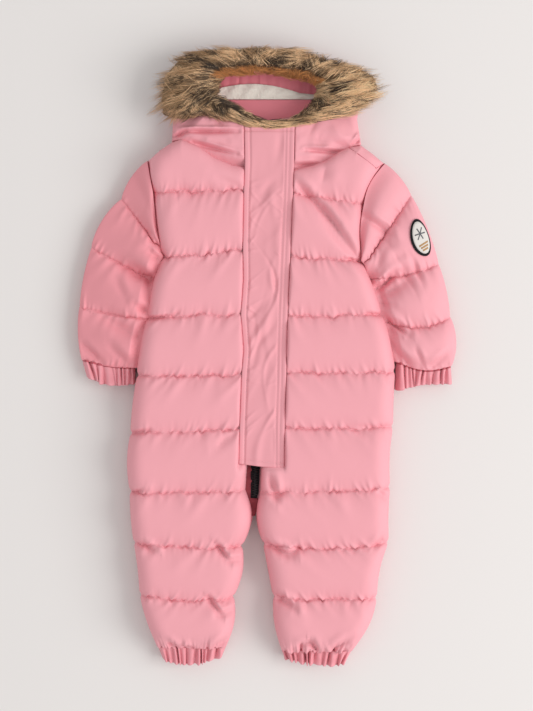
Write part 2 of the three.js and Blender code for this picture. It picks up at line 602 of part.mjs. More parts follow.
// Linings seen in the mouth of the hood
function liningLayer(name, material, x0, x1, lowY, highY, low, thick, across) {
  const us = [...Array(across).keys()].map((i) => i / (across - 1));
  const plan = (u, v) => [lerp(x0, x1, u), lerp(highY(u), lowY(u), v)];
  return layer(name, material, plan, low, (u, v, x, y) => low(u, v, x, y) + thick(u, v), us, [0, 0.25, 0.5, 0.75, 1]);
}
function hoodLining() {
  const gather = (u) => 1.8 + 0.5 * Math.cos(u * 17 * Math.PI);
  return liningLayer('hood_lining', liningFabric(), -62, 66, () => 312, () => 344, () => 10.2, gather, 18);
}
function neckFleece() {
  const arch = (u) => 322 + 8 * Math.sin(Math.PI * limit(u * 1.12 + 0.06)) - 6 * u ** 2;
  const soft = (u, v) => 1.2 + 1.2 * Math.sin(Math.PI * v);
  return liningLayer('neck_fleece', fleeceFabric(), -60, 60, () => 310.6, arch, () => 13, soft, 12);
}
function neckFacing() {
  const rise = (u, v) => lerp(12.9, 17.4, v);
  return liningLayer('neck_facing', liningFabric(), -56, 58, () => 270, () => 310.1, rise, () => 2, 10);
}

// Fur: a ring of locks round the mouth, from its inner edge to the tips
const FUR = table(
  ['outX', 'outY', 'inX', 'inY', 'hang'],
  [-6, 371.2, -6, 340.2, 1],
  [39.6, 366.6, 27.6, 336.6, 0.4],
  [69.6, 358.2, 46.8, 331.8, 0],
  [99.6, 351, 58.8, 325.8, 0.6],
  [133.2, 337.8, 61.2, 322.2, 1],
  [139.2, 322.2, 58.8, 317.4, 0.7],
  [121.2, 309, 52.8, 310.2, 0],
  [93.6, 295.8, 44.4, 301.8, 0],
  [61.2, 286.2, 34.8, 293.4, 0],
  [27.6, 277.8, 24, 286.2, 0],
  [1.2, 276.6, 1.2, 283.8, 0],
  [-22.8, 276.6, -18, 293.4, 0],
  [-50.4, 282.6, -34.8, 304.2, 0],
  [-80.4, 286.2, -49.2, 309, 0],
  [-106.8, 280.2, -56.4, 316.2, 0],
  [-130.8, 287.4, -57.6, 323.4, 0.5],
  [-132, 311.4, -56.4, 329.4, 1],
  [-124.8, 339, -52.8, 334.2, 1],
  [-106.8, 359.4, -44.4, 337.8, 1],
  [-74.4, 369, -32.4, 339, 1],
  [-38.4, 370.8, -20.4, 339.6, 1],
);
const FUR_SECTION = table(
  ['across', 'high', 'hung'],
  [0, 0.1, 0],
  [0.1, 0.55, 0],
  [0.34, 0.95, 0],
  [0.62, 1, 0],
  [0.86, 0.6, -1],
  [1, 0.15, -13],
  [0.91, 0, -18],
  [0.82, 0, -12],
  [0.72, 0, 0],
  [0.36, 0, 0],
);
const FUR_STATIONS = 63;
function furTrim() {
  const points = [];
  const faces = [];
  const count = FUR_SECTION.length;
  for (let i = 0; i < FUR_STATIONS; i += 1) {
    const place = (i / FUR_STATIONS) * FUR.length;
    const [a, b] = [FUR[Math.floor(place)], FUR[Math.ceil(place) % FUR.length]];
    const t = place % 1;
    const wide = Math.hypot(lerp(a.outX - a.inX, b.outX - b.inX, t), lerp(a.outY - a.inY, b.outY - b.inY, t));
    const lock = (i % 2 ? 1 : -1) * Math.min(0.055, 2.4 / wide) + 0.02 * Math.sin(i * 1.7);
    const tall = Math.min(20, 5 + wide * 0.5);
    for (const { across, high, hung } of FUR_SECTION) {
      const r = across + (across > 0.8 ? Math.min(0, lock) : 0);
      const tip = high > 0.5 ? (i % 2 ? 0.9 : -0.9) : 0;
      points.push([
        lerp(lerp(a.inX, b.inX, t), lerp(a.outX, b.outX, t), r),
        lerp(lerp(a.inY, b.inY, t), lerp(a.outY, b.outY, t), r),
        FUR_LOW + tall * high + tip + hung * lerp(a.hang, b.hang, t),
      ]);
    }
  }
  for (let i = 0; i < FUR_STATIONS; i += 1) {
    const next = (i + 1) % FUR_STATIONS;
    for (let j = 0; j < count; j += 1) {
      const side = (j + 1) % count;
      faces.push([i * count + j, next * count + j, next * count + side]);
      faces.push([i * count + j, next * count + side, i * count + side]);
    }
  }
  return solid('fur_trim', furPile(), points, faces);
}

// Oval badge on the wearer's left sleeve, laid on the sleeve's own surface
const BADGE = { angle: 0.755 * Math.PI, v: 1.55, wide: 0.115 * Math.PI, long: 0.275, clear: 0.9, thick: 1.3 };
function sleeveSurface(angle, v, out) {
  const at = (a, w) => new THREE.Vector3(
    ...sleevePoint('left', (1 - Math.cos(a)) / 2, w),
    sleeveHeight('left', a, w),
  );
  const point = at(angle, v);
  const across = at(angle + 0.02, v).sub(at(angle - 0.02, v));
  const down = at(angle, v + 0.02).sub(at(angle, v - 0.02));
  const normal = across.cross(down).normalize();
  if (normal.z < 0) normal.negate();
  return point.addScaledVector(normal, out).toArray();
}
function sleeveBadge() {
  const ring = 20;
  const levels = [BADGE.clear, BADGE.clear + BADGE.thick];
  const points = levels.flatMap((out) => [
    sleeveSurface(BADGE.angle, BADGE.v, out),
    ...[0.5, 1].flatMap((r) => [...Array(ring).keys()].map((i) => {
      const turn = (i / ring) * 2 * Math.PI;
      const angle = BADGE.angle + BADGE.wide * r * Math.cos(turn);
      return sleeveSurface(angle, BADGE.v + BADGE.long * r * Math.sin(turn), out);
    })),
  ]);
  const layerSize = 1 + 2 * ring;
  const faces = [];
  for (let i = 0; i < ring; i += 1) {
    const n = (i + 1) % ring;
    for (const [base, flip] of [[0, true], [layerSize, false]]) {
      const tri = (a, b, c) => faces.push(flip ? [base + a, base + c, base + b] : [base + a, base + b, base + c]);
      tri(0, 1 + i, 1 + n);
      tri(1 + i, 1 + ring + i, 1 + ring + n);
      tri(1 + i, 1 + ring + n, 1 + n);
    }
    const [a, b] = [1 + ring + i, 1 + ring + n];
    faces.push([a, b, layerSize + b], [a, layerSize + b, layerSize + a]);
  }
  return solid('sleeve_patch', badgeThread(), points, faces);
}

// Assembly, moved so that the origin is under the middle of the whole garment
const group = new THREE.Group();
group.name = 'baby_snowsuit';
for (const side of ['right', 'left']) {
  group.add(frontPanel(side), backPanel(side), sleeve(side), hoodSide(side));
}
group.add(...CUFFS.map(cuff));
group.add(hoodBack(), hoodLining(), neckFleece(), neckFacing(), furTrim());
group.add(zip(), zipSlider(), stormFlap(), sleeveBadge());

const box = new THREE.Box3().setFromObject(group);
const middle = box.getCenter(new THREE.Vector3());
for (const mesh of group.children) {
  mesh.geometry.translate(-middle.x, -middle.y, -box.min.z);
}

export default group;
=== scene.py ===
import math

import bpy
import numpy as np
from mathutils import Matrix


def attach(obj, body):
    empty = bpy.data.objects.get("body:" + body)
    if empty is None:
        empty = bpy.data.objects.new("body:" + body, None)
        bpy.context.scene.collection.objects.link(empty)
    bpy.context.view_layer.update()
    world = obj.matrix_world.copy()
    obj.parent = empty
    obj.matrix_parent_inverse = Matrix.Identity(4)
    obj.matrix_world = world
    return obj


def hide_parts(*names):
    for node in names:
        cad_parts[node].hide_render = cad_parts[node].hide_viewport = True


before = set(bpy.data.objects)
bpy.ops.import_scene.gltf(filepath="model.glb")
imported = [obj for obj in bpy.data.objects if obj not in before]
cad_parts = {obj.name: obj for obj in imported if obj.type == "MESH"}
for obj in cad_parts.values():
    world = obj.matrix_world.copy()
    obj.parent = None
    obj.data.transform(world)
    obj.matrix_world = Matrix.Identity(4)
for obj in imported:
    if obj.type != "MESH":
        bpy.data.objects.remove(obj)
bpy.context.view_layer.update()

# Front panels
# Two quilted fronts, neck to ankle: padded rows between stitched lines, the outer
# fabric fuller than the line it is sewn to, so that it puckers on both sides of it.
MIDDLE = (-0.1002, 0.9842)  # middle of the garment in the photo's own millimetres
MEET = 20.0  # where the backs end and the fronts begin
UNDER = 20.4  # underside of the fronts and the hood's sides
FREE = 23.4  # their thickness at a free edge
SIDE_SEAM = 17  # height of the side seams, above which the under side has rounded up
QUILT_DIP = 10.0
ROW_TALL = 70  # from one stitched line to the next, about
OUTWARD = {"right": -1, "left": 1}  # sign of x away from the body
PINK = (0.89, 0.365, 0.413)
NECK = {
    "right": [(-20.4, 225.6), (-43.2, 230.4), (-63.6, 239.4), (-80.9, 251.8), (-102, 260.4), (-114, 257.4)],
    "left": [
        (-4.8, 222.6), (33.6, 224.4), (54.5, 229), (70.1, 234.8), (85.8, 245.4), (96.8, 250.4), (112.8, 253.8)
    ],
}
BACK_NECK = {
    "right": [(-12.8, 249), (-60, 250.4), (-96, 254), (-114, 257.4)],
    "left": [(-12.4, 249), (40, 249.4), (92, 251), (112.8, 253.8)],
}
SHOULDER = {
    "right": [(-114, 257.4), (-128.4, 247.8), (-142.4, 235.2)],
    "left": [(112.8, 253.8), (126, 244.2), (140.4, 232.2)],
}
# zip x and y, side x and y, sag in the middle, bulge of the row above at the zip and at the side
LINES = {
    "right": [
        (-20.4, 201, -135.2, 197.4, 1, 0, 0),
        (-20.4, 130.8, -126.6, 120.6, 2, 0, 0),
        (-20.4, 53.4, -144.6, 48, 1, 0, -2.4),
        (-20.4, -18.6, -156, -21, 1, 0, -2.4),
        (-20.4, -83.4, -164, -90.6, 1, 0, -1.2),
        (-26, -158.4, -164.6, -160.2, 1, 0, -3.6),
        (-29.4, -225.6, -160, -221.4, 2, 9.6, -1.2),
        (-39.4, -286.2, -152.8, -283.8, 5, 5.4, 1.2),
        (-49.2, -346.8, -131.4, -346.8, 0, 5.4, -2.4),
    ],
    "left": [
        (-4.8, 203.4, 114.6, 183, 1, 0, -5.5),
        (-4.8, 127.8, 114.4, 115.8, 2, 0, -4.3),
        (-4.8, 50.4, 138.8, 52.2, 1, 0, 1.2),
        (-4.8, -18, 153.6, -16.2, 1, 0, 2.4),
        (-4.8, -84, 151.2, -82.2, 1, 0, -0.6),
        (-8.4, -161.4, 147.6, -154.8, 1, 0, -2.4),
        (-5, -222.6, 146, -220.8, 6, -6, -1.2),
        (7.2, -286.2, 131.8, -287.4, 2, 0, -3.6),
        (17.4, -350.4, 102, -351.6, 0, -3.6, 6),
    ],
}
# y, left edge and right edge of the storm flap
FLAP = [
    (275.6, -27, 33),
    (231, -26.4, 32),
    (189, -28, 30.7),
    (134, -28.8, 28.2),
    (93, -28.2, 26.4),
    (51, -31.2, 24.5),
    (9, -27.9, 23.4),
    (-27, -30.6, 22.8),
    (-81, -32.6, 21),
    (-126.6, -33.8, 21),
]
FLAP_END = -131.0
UNDER_FLAP = 37.2
# creases of the fronts: from, to, depth, width
FOLDS = [
    (30, 214, 82, 156, 9, 5),
    (66, 177, 111, 114, 9, 5),
    (64.4, 163.8, 100.3, 121, 4, 3.5),
    (69.6, 227.4, 66, 208.2, 4, 8),
    (-146, 46, -112, 48.5, 6, 2.6),
    (-112, 48.5, -104, 55, 4, 2.4),
    (-165, -91, -140, -86.5, 6, 2.6),
    (-164, -161, -142, -158, 5, 2.6),
    (118, 52, 138, 51, 4, 2.4),
    (96, -82, 150, -82, 2, 2.4),
    (92, 118, 112, 114, 5, 2.4),
    (-63, -221, -45, -243, 9, 3.6),
    (-50, -242, -28, -240, 7, 3.2),
    (-71, -286, -54, -308, 9, 3.6),
    (-59, -307, -37, -300, 7, 3.2),
    (-3, -223, 30, -237, 11, 5),
    (24, -236, 43, -225, 7, 4),
    (8, -284, 32, -299, 11, 5),
    (2, -138, 10, -168, 8, 5),
    (7, -168, 22, -159, 6, 4),
    (-121, -338, -107, -351, 8, 4),
    (-104, -346, -86, -351, 10, 3.5),
    (-68, -351, -43, -334, 10, 5),
    (34, -346, 55, -338, 8, 4),
    (51, -338, 61, -352, 10, 3.5),
    (76, -350, 100, -336, 9, 5),
    (-62, -108, -44, -92, 4, 5),
    (-152, -222, -132, -232, 7, 4),
    (128, -158, 146, -170, 6, 4),
    (128, -226, 140, -214, 6, 4),
    (-112, 196.4, -70, 196, 3, 7),
    (-66, 216, -30, 204, 2, 6),
]


def ease(t):
    """Goes from 0 to 1 without a corner at either end."""
    t = np.clip(t, 0, 1)
    return t * t * (3 - 2 * t)


def curve_up(d, reach):
    """Goes from 0 at an edge to 1 at a distance, like the round side of a cushion."""
    return np.sqrt(1 - (1 - np.clip(d / reach, 0, 1)) ** 2.8)


def on_line(points, share):
    """Points at shares of the length of a line through the given points."""
    p = np.array(points, float)
    run = np.concatenate([[0], np.cumsum(np.hypot(*np.diff(p, axis=0).T))])
    at = np.clip(share, 0, 1) * run[-1]
    return np.stack([np.interp(at, run, p[:, 0]), np.interp(at, run, p[:, 1])], -1)


def line_point(side, k, u, back=False):
    """Points of the stitched line k, or of the neck and shoulder for line 0, from the zip (u 0) to the
    side (u 1)."""
    if k == 0:
        neck = on_line((BACK_NECK if back else NECK)[side], u / 0.8)
        shoulder = on_line(SHOULDER[side], (u - 0.8) / 0.2)
        return np.where((u <= 0.8)[:, None], neck, shoulder)
    zip_x, zip_y, side_x, side_y, sag = LINES[side][k - 1][:5]
    if back and k < 7:
        zip_x = -12.6 + 0.2 * OUTWARD[side]
    y = zip_y + (side_y - zip_y) * u - sag * np.sin(math.pi * u)
    return np.stack([zip_x + (side_x - zip_x) * u, y], -1)


def panel(side, us, vs, back=False):
    """Plan of a front or back: x and y for each row v, counted in stitched lines, and column u."""
    out = np.zeros((len(vs), len(us), 2))
    for i, v in enumerate(vs):
        k = min(8, int(v))
        t = v - k
        above, below = line_point(side, k, us, back), line_point(side, k + 1, us, back)
        out[i] = above + (below - above) * t
        swell = math.sin(math.pi * t)
        inner = (below - above)[:, 0] * (t * t - t) if back and k == 6 else LINES[side][k][5] * swell
        out[i, :, 0] += inner * (1 - us) ** 3 + LINES[side][k][6] * swell * us ** 3
        # the sides, and the legs on both sides, draw in a little at each line
        notch = 1.9 * math.exp(-((min(t, 1 - t) * ROW_TALL / 3.2) ** 2)) * OUTWARD[side]
        if 1.9 < v < 8.6:
            out[i, :, 0] -= notch * us ** 12 - (notch * (1 - us) ** 12 if v > 6.6 else 0)
    return out


def flap_edges(y):
    """Left and right edge of the storm flap at height y."""
    ys, lefts, rights = np.array(FLAP[::-1]).T
    return np.interp(y, ys, lefts), np.interp(y, ys, rights)


def pressed(x, y):
    """Height that the fronts and the hood keep under the flap, and beside it as they swell up again."""
    left, right = flap_edges(y)
    beside = np.maximum(np.maximum(left - x, x - right), FLAP_END - y)
    return UNDER_FLAP + 4.4 * ease((beside + 0.6) / 1.6) + 6.4 * curve_up(beside - 1.0, 28)


def from_line(x, y, x0, y0, x1, y1):
    """Share along a line for each point, its distance from the line, and whether it lies left of it."""
    t = np.clip(((x - x0) * (x1 - x0) + (y - y0) * (y1 - y0)) / ((x1 - x0) ** 2 + (y1 - y0) ** 2), 0, 1)
    far = np.hypot(x - x0 - (x1 - x0) * t, y - y0 - (y1 - y0) * t)
    return t, far, (x1 - x0) * (y - y0) - (y1 - y0) * (x - x0) > 0


def folded(x, y, rows):
    """Depth of the creases at each point: a round-bottomed groove with a soft ridge along one side."""
    depth = np.zeros_like(x)
    for x0, y0, x1, y1, deep, wide in rows:
        t, far, left = from_line(x, y, x0, y0, x1, y1)
        groove = np.exp(-(np.hypot(far, 1.2) - 1.2) / (0.7 * wide))
        ridge = 0.4 * np.exp(-(((far - 1.7 * wide) / (0.9 * wide)) ** 2)) * left
        depth += deep * np.sin(math.pi * np.clip(t, 0.06, 0.94)) ** 0.7 * (groove - ridge)
    return depth


def wander(rng, count, size, smooth):
    """A line of smooth random values."""
    noise = rng.normal(0, 1, count + 6 * smooth)
    kernel = np.hanning(2 * smooth + 1)
    smoothed = np.convolve(noise, kernel / np.sqrt((kernel ** 2).sum()), "same")
    return size * smoothed[3 * smooth : 3 * smooth + count]


def mesh_from(name, points, faces):
    """A smooth object from points in metres and faces."""
    mesh = bpy.data.meshes.new(name)
    mesh.from_pydata([tuple(p) for p in points], [], faces)
    mesh.update()
    obj = bpy.data.objects.new(name.replace(" ", "-"), mesh)
    bpy.context.scene.collection.objects.link(obj)
    mesh.shade_smooth()
    return obj


def grid_faces(rows, cols, start=0, ring=False):
    """Four-sided faces over rows and columns of points, closed round where ring is set."""
    faces = []
    for r in range(rows - 1):
        for c in range(cols if ring else cols - 1):
            a, b = start + r * cols + c, start + r * cols + (c + 1) % cols
            faces.append((a, b, b + cols, a + cols))
    return faces


def outside_out(obj):
    """Turns the faces of a closed mesh outwards."""
    mesh = obj.data
    points = np.zeros(len(mesh.vertices) * 3)
    mesh.vertices.foreach_get("co", points)
    points = points.reshape(-1, 3)
    mesh.calc_loop_triangles()
    tri = np.zeros(len(mesh.loop_triangles) * 3, int)
    mesh.loop_triangles.foreach_get("vertices", tri)
    a, b, c = (points[tri.reshape(-1, 3)[:, i]] for i in range(3))
    if np.einsum("ij,ij->i", a, np.cross(b, c)).sum() < 0:
        mesh.flip_normals()
    return obj


def metres(points):
    """Points in the photograph's millimetres as metres in the shared frame."""
    moved = np.array(points, float)
    moved[..., 0] -= MIDDLE[0]
    moved[..., 1] -= MIDDLE[1]
    return moved / 1000


def skin(name, outer, inner, ring=False):
    """Closed wall between an outer and an inner grid of points in millimetres, open round for a tube."""
    rows, cols = outer.shape[:2]
    total = rows * cols
    faces = grid_faces(rows, cols, 0, ring)
    faces += [face[::-1] for face in grid_faces(rows, cols, total, ring)]
    span = cols if ring else cols - 1
    for r in (0, rows - 1):
        for c in range(span):
            a, b = r * cols + c, r * cols + (c + 1) % cols
            quad = (a, a + total, b + total, b)
            faces.append(quad if r == 0 else quad[::-1])
    if not ring:
        for c in (0, cols - 1):
            for r in range(rows - 1):
                a, b = r * cols + c, (r + 1) * cols + c
                quad = (a, b, b + total, a + total)
                faces.append(quad if c == 0 else quad[::-1])
    obj = mesh_from(name, metres(np.concatenate([outer.reshape(-1, 3), inner.reshape(-1, 3)])), faces)
    return outside_out(obj)


def share_rows(count, per_row):
    """Evenly spaced rows."""
    return np.concatenate([k + np.arange(per_row) / per_row for k in range(count)] + [[count]])


def fine_rows(count, per_row):
    """Rows that lie closer together beside every stitched line."""
    t = np.arange(per_row) / per_row
    t = t - 0.75 * np.sin(2 * math.pi * t) / (2 * math.pi)
    return np.concatenate([k + t for k in range(count)] + [[count]])


def arc(t):
    """Height of a padded row between two stitched lines, 0 at the lines and 1 in the middle."""
    return (1 - np.abs(2 * t - 1) ** 2.0) ** 0.8


def gathers(rng, along, off, lean):
    """Puckers beside a stitched line: crisp and short above it, long, soft and slanting below it."""
    raised = np.zeros_like(along)
    shift = np.zeros_like(along)
    length = along.max()
    above, below = np.clip(off, 0, None), np.clip(-off, 0, None)
    at = rng.uniform(1, 5)
    while at < length:
        strong = rng.random() < 0.35
        deep = rng.uniform(1.5, 2.7) if strong else rng.uniform(0.4, 1.2)
        wide = rng.uniform(1.3, 2.2) + 0.6 * strong
        reach = rng.uniform(5, 11) if strong else rng.uniform(2, 6)
        slant = lean * rng.uniform(-0.1, 0.75)
        away = along - at + slant * above
        grown = 0.35 + 0.65 * np.minimum(1, above / 2.5)
        raised += deep * grown * np.exp(-((away / wide) ** 2) - (above / reach) ** 2) * (off >= 0)
        raised += deep * 0.5 * np.exp(-(((along - at) / wide) ** 2) - (below / 2.5) ** 2) * (off < 0)
        shift -= 0.95 * deep * np.exp(-(((along - at) / wide) ** 2) - (off / 5) ** 2)
        at += rng.uniform(2.8, 8.5)
    at = rng.uniform(2, 9)
    while at < length:
        deep, wide = rng.uniform(0.8, 2.8), rng.uniform(2.4, 5.0)
        reach, slant = rng.uniform(9, 30), lean * rng.uniform(0.1, 1.1)
        away = along - at - slant * below
        grown = np.minimum(1, below / 3)
        fading = np.exp(-((away / (wide + 0.12 * below)) ** 2) - (below / reach) ** 2)
        raised += deep * grown * fading * (off < 0)
        at += rng.uniform(6, 15)
    return raised, shift


def front_height(side, us, vs, xy):
    """Height of a front: round at its edges, higher between the stitched lines."""
    x, y = xy[..., 0], xy[..., 1]
    u, v = np.meshgrid(us, vs)
    crown = 48 - 4 * np.clip((v - 6) / 1.5, 0, 1)  # lower on the legs
    zip_end, side_end = xy[:, :1], xy[:, -1:]
    top, foot = xy[:1], xy[-1:]

    def far(p):
        return np.hypot(x - p[..., 0], y - p[..., 1])

    side_edge = 24 + 10 * ease(v / 0.5)
    side_edge = side_edge + (FREE - side_edge) * ease((v - 1.6) / 0.6)
    zip_edge = 29 + (FREE - 29) * ease((v - 5.4) / 1.4)
    neck_edge = 34 - 10 * ease((u - 0.7) / 0.14)

    def share(edge, d, reach):
        low = (edge - UNDER) / (crown - UNDER)
        return low + (1 - low) * curve_up(d, reach)

    rise = (
        share(side_edge, far(side_end), 25)
        * share(zip_edge, far(zip_end), 16 + 13 * ease(v - 5.6))
        * share(neck_edge, far(top), 30)
        * share(28, far(foot), 20)
    )
    base = UNDER + (crown - UNDER) * rise
    dip = np.where(v < 0.5, 0, QUILT_DIP * (1 - arc(v % 1)) * np.clip((base - FREE) / 14, 0, 1))
    return np.maximum(FREE, base - dip)


def softly_below(z, limit, give=1.6):
    """Keeps z under limit with a rounded change instead of an edge."""
    return limit - give * np.log1p(np.exp(np.clip((limit - z) / give, -30, 30)))


# the sewn line over the left shoulder, from the hood to the armhole
YOKE = [(97.2, 250.2, 130, 225.7), (130, 225.7, 141, 232.6)]


def yoke_seam(x, y):
    """Depth of the sewn line over the left shoulder."""
    depth = np.zeros_like(x)
    for x0, y0, x1, y1 in YOKE:
        far = from_line(x, y, x0, y0, x1, y1)[1]
        depth += 1.9 * np.exp(-((far / 1.2) ** 2)) - 0.5 * np.exp(-(((far - 3) / 1.6) ** 2))
    return depth


def front_points(side, seed):
    """Upper surface of a front, with its puckers, folds and hem gathers."""
    rng = np.random.default_rng(seed)
    us, vs = np.linspace(0, 1, 112), fine_rows(9, 24)
    xy = panel(side, us, vs)
    z = front_height(side, us, vs, xy)
    width = np.hypot(*(xy[:, -1] - xy[:, 0]).T)[:, None]
    along = us[None, :] * width
    fade = (np.clip(us / 0.05, 0, 1) * np.clip((1 - us) / 0.06, 0, 1))[None, :]
    lift, shift = np.zeros_like(z), np.zeros_like(z)
    for k in range(1, 10):
        off = (k - vs)[:, None] * (75 if k > 1 else 62)  # millimetres above line k
        near = np.abs(off[:, 0]) < 45
        raised, moved = gathers(rng, along[near], off[near] + 0 * along[near], 1.0)
        lift[near] += raised * (2.0 if k == 9 else 1.0)
        shift[near] += moved
        lift[near] -= (0.4 + wander(rng, len(us), 0.7, 4)[None, :]) * np.exp(-((off[near] / 1.5) ** 2))
        drift = wander(rng, len(us), 0.8, 9)[None, :] + wander(rng, len(us), 0.35, 3)[None, :]
        shift[near] += drift * np.exp(-((off[near] / 14) ** 2))
    inside = np.clip((z - FREE) / 8, 0, 1)
    foot = ease((vs - 8.75) / 0.25)[:, None]
    hem = (1.8 + wander(rng, len(us), 1.1, 3) + wander(rng, len(us), 0.8, 8))[None, :] * foot * fade
    lift *= fade * inside
    x, y = xy[..., 0], xy[..., 1] + shift * fade * inside - hem
    z = z + lift - folded(x, y, FOLDS) - yoke_seam(x, y)
    z = softly_below(z, pressed(x, y) + 6 * ease((pressed(x, y) - 37) / 10))
    held = np.zeros(z.shape, bool)
    held[0], held[-1], held[:, 0], held[:, -1] = True, True, True, True
    return np.dstack([x, y, np.maximum(z, np.where(held, FREE - 1, FREE + 0.4))])


def padded_skin(name, outer, level):
    """Closed padded piece: a fine upper skin over a flat underside at one level."""
    rows, cols = outer.shape[:2]
    faces = grid_faces(rows, cols)
    number = np.arange(rows * cols).reshape(rows, cols)
    rim = np.concatenate([number[0], number[1:, -1], number[-1, -2::-1], number[-2:0:-1, 0]]).tolist()
    points = outer.reshape(-1, 3)
    under = points[rim].copy()
    under[:, 2] = level
    total, n = len(points), len(rim)
    faces += [(rim[i], total + i, total + (i + 1) % n, rim[(i + 1) % n]) for i in range(n)]
    faces.append(tuple(total + i for i in reversed(range(n))))
    return outside_out(mesh_from(name, metres(np.concatenate([points, under])), faces))


class Maths:
    """A shader socket that can be added, multiplied and passed to other nodes."""

    def __init__(self, tree, socket):
        self.tree, self.socket = tree, socket

    def node(self, kind, settings=None, inputs=None, output=0):
        """Adds a node with its settings and inputs, and gives one of its outputs."""
        made = self.tree.nodes.new(kind)
        for key, value in (settings or {}).items():
            setattr(made, key, value)
        for key, value in (inputs or {}).items():
            if isinstance(value, Maths):
                self.tree.links.new(value.socket, made.inputs[key])
            else:
                made.inputs[key].default_value = value
        return Maths(self.tree, made.outputs[output])

    def __add__(self, other):
        return self.node("ShaderNodeMath", {"operation": "ADD"}, {0: self, 1: other})

    def __sub__(self, other):
        return self.node("ShaderNodeMath", {"operation": "SUBTRACT"}, {0: self, 1: other})

    def __mul__(self, other):
        return self.node("ShaderNodeMath", {"operation": "MULTIPLY"}, {0: self, 1: other})


def new_material(name, rough):
    """A material, and its one shader with its roughness set."""
    material = bpy.data.materials.new(name)
    material.use_nodes = True
    shader = material.node_tree.nodes["Principled BSDF"]
    shader.inputs["Roughness"].default_value = rough
    return material, shader


def woven(name, colour, rough=0.55, sheen=0.06, weave=0.00006, tone=0.06, lumps=0.0002):
    """Cloth: a colour that varies softly, a fine weave and small creases in its surface."""
    material, shader = new_material(name, rough)
    tree = material.node_tree
    shader.inputs["Specular IOR Level"].default_value = 0.14
    shader.inputs["Sheen Weight"].default_value = sheen
    shader.inputs["Sheen Roughness"].default_value = 0.4
    shader.inputs["Sheen Tint"].default_value = colour + (1.0,)
    start = Maths(tree, tree.nodes.new("ShaderNodeTexCoord").outputs["Object"])

    def noise(scale, detail, distortion=0.0):
        inputs = {"Vector": start, "Scale": scale, "Detail": detail, "Distortion": distortion}
        return start.node("ShaderNodeTexNoise", None, inputs)

    soft, fine, crease = noise(22.0, 3.0), noise(900.0, 2.0), noise(75.0, 3.0, 0.6)
    level = (soft - 0.5) * tone + (fine - 0.5) * tone * 0.8 + 0.5
    darker = tuple(c * 0.7 for c in colour) + (1.0,)
    lighter = tuple(min(1.0, c * 1.3) for c in colour) + (1.0,)
    mixed = start.node("ShaderNodeMix", {"data_type": "RGBA"}, {0: level, 6: darker, 7: lighter}, 2)
    tree.links.new(mixed.socket, shader.inputs["Base Color"])
    height = fine * weave + crease * lumps
    bump = start.node("ShaderNodeBump", None, {"Height": height, "Distance": 1.0, "Strength": 1.0})
    tree.links.new(bump.socket, shader.inputs["Normal"])
    return material


def give(obj, slot, material, node=None):
    """Gives a piece its material, puts it on the one body and hides the node that it replaces, if any; slot
    is not used.
    """
    obj.data.materials.append(material)
    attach(obj, "root")
    if node:
        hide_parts(node)
    return obj


shell = woven("quilted shell", PINK)
fronts = {"right": front_points("right", 3), "left": front_points("left", 8)}
for side, points in fronts.items():
    piece = padded_skin(f"{side} front", points, UNDER)
    give(piece, "shell", shell, f"{side}_front")

# Shoulder and armhole seams
# Thin dark rods laid in the seams, painted shade for their grooves: over the
# garment's left shoulder, and down each armhole between the front and the sleeve.


def height_at(points, x, y):
    """Height of a surface near one place."""
    far = ((points[..., 0] - x) ** 2 + (points[..., 1] - y) ** 2).ravel()
    best = np.argsort(far)[:4]
    weight = 1 / (far[best] + 0.05)
    return float((points[..., 2].ravel()[best] * weight).sum() / weight.sum())


def seam_line(name, points, wide, material):
    """Thin four-sided closed rod along points in millimetres; here dark, as painted shade in a seam's groove.
    """
    rows = []
    for i, (x, y, z) in enumerate(points):
        ahead, back = points[min(i + 1, len(points) - 1)], points[max(i - 1, 0)]
        dx, dy = ahead[0] - back[0], ahead[1] - back[1]
        long = max(1e-6, math.hypot(dx, dy))
        nx, ny = -dy / long * wide, dx / long * wide
        rows += [(x + nx, y + ny, z), (x, y, z + 0.7 * wide), (x - nx, y - ny, z), (x, y, z - 0.9 * wide)]
    faces = grid_faces(len(points), 4, ring=True)
    faces += [(3, 2, 1, 0), tuple(len(rows) - 4 + k for k in range(4))]
    give(outside_out(mesh_from(name, metres(rows), faces)), "shell", material)


# painted shade: the deep red of the seams' grooves, given to thin rods that lie in them
seam_painted_shade = woven("seam", (0.5, 0.12, 0.15), 0.7, weave=0, lumps=0)
shoulder = []
for x0, y0, x1, y1 in YOKE:
    for t in np.linspace(0, 1, 30):
        x, y = x0 + (x1 - x0) * t, y0 + (y1 - y0) * t
        shoulder.append((x, y, height_at(fronts["left"], x, y)))
seam_line("shoulder seam", shoulder, 0.5, seam_painted_shade)
for side, y_top, y_end in (("right", 238, 141), ("left", 233, 128)):
    edge = [p for p in fronts[side][:, -1] if y_end < p[1] < y_top]
    line = [(x + 0.6 * OUTWARD[side], y, z - 0.7) for x, y, z in edge]
    seam_line(f"{side} armhole seam", line, 0.75, seam_painted_shade)

# Back panels
# Two padded backs that meet at the centre-back seam, flat on the floor, their free
# edges rounding up to the side seams, with shallow stitched rows underneath.


def back_points(side):
    """Under and upper surface of a back."""
    us, vs = np.linspace(0, 1, 34), share_rows(9, 12)
    xy = panel(side, us, vs, True)
    x, y = xy[..., 0], xy[..., 1]
    u, v = np.meshgrid(us, vs)

    def away(p):
        return 1 - curve_up(np.hypot(x - p[..., 0], y - p[..., 1]), 25)

    lift = np.maximum(away(xy[:, -1:]) * ease((v - 1.7) / 0.5), away(xy[:, :1]) * ease((v - 6.3) / 0.5))
    lift = np.maximum(lift, away(xy[:1]) * ease((u - 0.75) / 0.14))
    groove = 2.5 * np.exp(-((np.abs(v - np.round(v)) * ROW_TALL / 5) ** 2)) * ((v > 0.3) & (v < 8.7))
    low = np.minimum(SIDE_SEAM, SIDE_SEAM * lift + groove)
    return np.dstack([xy, low]), np.dstack([xy, np.full_like(low, MEET)])


